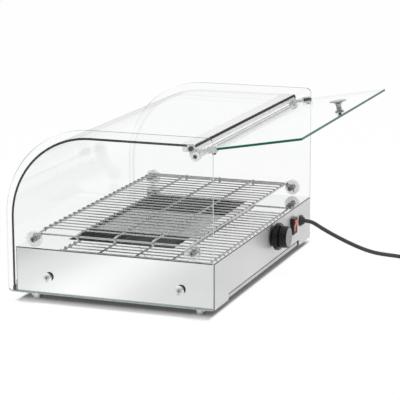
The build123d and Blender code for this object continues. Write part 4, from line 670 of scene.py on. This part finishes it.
USES = {
    "housing_steel": ["base_housing"],
    "under_steel_painted_shade": ["bottom_plate"],
    "tray_steel": ["crumb_tray"],
    "liner_steel": ["front_channel", "tray_runners", "wiring_shield", "element_hangers"],
    "deflector_steel": ["heat_deflector"],
    "well_liner_painted_shade": ["well_liner"],
    "element_sheath": ["heating_elements"],
    "chrome": ["cup_washers"],
    "stud_chrome": ["stud_barrels"],
    "knob_chrome": ["door_knob"],
    "plate_nickel": ["rail_end_plates"],
    "clamp_chrome": ["door_clamps"],
    "rack_chrome": ["rack_end_bars", "rack_cross_wires"],
    "stud_screw": ["stud_screws"],
    "cup_screw": ["side_screws"],
    "foot_metal": ["feet"],
    "zinc_steel": [
        "foot_screws", "foot_nuts", "rivet_nuts", "rail_washers", "knob_screw", "thermostat_shaft",
    ],
    "screw_steel": ["rail_screws", "end_plate_screws", "clamp_screws"],
    "rail_aluminium": ["top_rail"],
    "hinge_steel": ["hinge_tube"],
    "pin_brass": ["plug_pins"],
    "copper": ["thermostat_bulb"],
    "ceramic": ["element_terminals"],
    "nylon": ["stud_discs_inner", "stud_discs_outer"],
    "rubber_black": ["rail_seal", "clamp_pads"],
    "black_gloss": ["thermostat_plate", "thermostat_knob", "switch_housing"],
    "black_nylon": ["strain_relief", "gland_nut"],
    "body_phenolic": ["thermostat_body"],
    "rocker_red": ["switch_rocker"],
    "block_white": ["terminal_block"],
    "wire_sleeve": ["inner_wires"],
    "plug_black": ["plug"],
    "glass_end": ["end_glass_right", "end_glass_left"],
    "glass_curved": ["curved_glass"],
    "glass_door": ["door_glass"],
    "dial_face": ["knob_face"],
}

# The end glasses shrink by this many metres, because their inner faces coincide with the base's walls
GLASS_EASE = 0.00008


def dress():
    for material, names in USES.items():
        for name in names:
            mesh = NODES[name].data
            mesh.materials.clear()
            mesh.materials.append(MATERIALS[material])
    for name in USES["glass_end"]:
        ease = NODES[name].modifiers.new("ease", "DISPLACE")
        ease.strength = -GLASS_EASE
        ease.mid_level = 0.0


# Stage: white surroundings, a floor that keeps the shadow, and soft lamps

# Strength of the world's light from the horizon and from straight above
SKY_LOW, SKY_HIGH = 0.10, 0.65
# Reflections see a pale room, bright overhead and dark low down on the viewer's side: greys from the side
# opposite this direction (0) round to it (1)
ROOM_DARK_SIDE = (0.803, 0.300, -0.515)
ROOM_GREYS = [(0.0, 1.0), (0.45, 0.92), (0.66, 0.40), (1.0, 0.22)]

# The floor reaches this many metres each way
FLOOR_GREY, FLOOR_ROUGH, FLOOR_REACH = 0.93, 0.9, 20
# Share of the floor's white that doesn't depend on the lamps: up to GLOW_START metres off the base, and from
# GLOW_REACH metres off it
GLOW_NEAR, GLOW_FAR, GLOW_START, GLOW_REACH = 0.06, 0.98, 0.011, 0.025
# In front of and behind the base, metres off it count this many times, and this much is added
GLOW_PULL, GLOW_SHIFT = 2.6, 0.030
# Greys of the floor in reflections, by metres along Y, and their strength: up to CARD_START metres off the
# base, and from CARD_REACH metres off it; the weak strength under the base is a painted shadow
CARD_GREYS = [(-0.42, 0.56), (-0.31, 0.78), (-0.17, 1.0), (0.0, 0.74), (0.25, 0.72), (0.8, 0.9)]
CARD_UNDER_SHADOW, CARD_FAR, CARD_START, CARD_REACH = 0.08, 1.08, -0.014, 0.006

# Place, target, side and watts of each square lamp
LAMPS = {
    "key": ((-0.10, -0.06, 2.2), (-0.10, -0.06, 0), 0.22, 24),
    "top_soft": ((0.75, 0.35, 2.2), (0.75, 0.35, 0), 1.8, 6),
    "side_soft": ((1.5, 0.9, 1.5), (0, 0, 0.1), 0.9, 11),
}


def backdrop_rays(tree):
    """1 for a ray from the camera, a reflection or through glass, which shows the backdrop, and its path."""
    path = node(tree, "ShaderNodeLightPath").outputs
    other = calc(tree, "MAXIMUM", path["Is Glossy Ray"], path["Is Transmission Ray"])
    return calc(tree, "MAXIMUM", path["Is Camera Ray"], other), path


def make_world():
    world = bpy.data.worlds.new("studio")
    SCENE.world = world
    world.use_nodes = True
    tree = world.node_tree
    towards = coordinate(tree, "Generated")
    sky = tree.nodes["Background"]
    feed(tree, sky.inputs["Color"], WHITE)
    feed(tree, sky.inputs["Strength"], remap(tree, parts(tree, towards)["Z"], SKY_LOW, SKY_HIGH, 0, 1))
    white = plain_shader(tree, "ShaderNodeBackground")
    dark_side = rise(tree, dot(tree, towards, ROOM_DARK_SIDE), -1, 1)
    room = plain_shader(tree, "ShaderNodeBackground", grey_ramp(tree, dark_side, ROOM_GREYS))
    backdrop, path = backdrop_rays(tree)
    direct = mix_shader(tree, backdrop, sky.outputs[0], white)
    show(tree, mix_shader(tree, path["Is Glossy Ray"], direct, room), "World Output")


def off_base(tree, position):
    """How far a point of the floor is off the base's outline, below 0 under the base."""
    low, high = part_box("base_housing")
    offsets = []
    for i, axis, pull, shift in ((0, "X", 1.0, 0.0), (1, "Y", GLOW_PULL, GLOW_SHIFT)):
        far = calc(tree, "ABSOLUTE", calc(tree, "SUBTRACT", position[axis], (low[i] + high[i]) / 2))
        offsets.append(calc(tree, "MULTIPLY_ADD", far, pull, shift - pull * (high[i] - low[i]) / 2))
    return calc(tree, "MAXIMUM", *offsets)


def floor_material():
    """White floor that keeps the shadow; reflections see it as a card in its own greys, with a painted
    shadow under the base.
    """
    material, tree, shader = new_material("floor")
    feed(tree, shader.inputs["Base Color"], grey(FLOOR_GREY))
    shader.inputs["Roughness"].default_value = FLOOR_ROUGH
    shader.inputs["Specular IOR Level"].default_value = 0.0
    where = node(tree, "ShaderNodeNewGeometry").outputs
    position = parts(tree, where["Position"])
    away = off_base(tree, position)
    backdrop, path = backdrop_rays(tree)
    glow = remap(tree, away, GLOW_NEAR, GLOW_FAR, GLOW_START, GLOW_REACH)
    white = plain_shader(tree, "ShaderNodeEmission", Strength=1.0)
    direct = mix_shader(tree, calc(tree, "MULTIPLY", glow, backdrop), shader.outputs[0], white)
    # the ramp runs over a metre to either side of the frame's origin
    stops = [((y + 1) / 2, level) for y, level in CARD_GREYS]
    tone = grey_ramp(tree, rise(tree, position["Y"], -1, 1), stops, "EASE")
    # painted shadow: the card is weak under the base
    strength = remap(tree, away, CARD_UNDER_SHADOW, CARD_FAR, CARD_START, CARD_REACH)
    card = plain_shader(tree, "ShaderNodeEmission", tone, Strength=strength)
    above = mix_shader(tree, path["Is Glossy Ray"], direct, card)
    # from below, the floor lets the object's underside be seen
    below = plain_shader(tree, "ShaderNodeBsdfTransparent")
    show(tree, mix_shader(tree, where["Backfacing"], above, below))
    return material


def make_floor():
    mesh = bpy.data.meshes.new("floor")
    work = bmesh.new()
    bmesh.ops.create_grid(work, x_segments=1, y_segments=1, size=FLOOR_REACH)
    work.to_mesh(mesh)
    work.free()
    floor = bpy.data.objects.new("floor", mesh)
    SCENE.collection.objects.link(floor)
    mesh.materials.append(floor_material())


def make_lamps():
    for name, (place, target, side, watts) in LAMPS.items():
        data = bpy.data.lights.new(name, "AREA")
        data.size = side
        data.energy = watts
        made = bpy.data.objects.new(name, data)
        SCENE.collection.objects.link(made)
        made.location = place
        made.rotation_euler = (Vector(target) - Vector(place)).to_track_quat("-Z", "Y").to_euler()
        # no blot of a lamp in the glass and the deck from above
        made.visible_glossy = False


make_camera()
make_cord(MATERIALS["cord_grey"])
make_rack_wires(MATERIALS["rack_chrome"])
dress()
make_world()
make_floor()
make_lamps()

SCENE.view_settings.view_transform = "Standard"
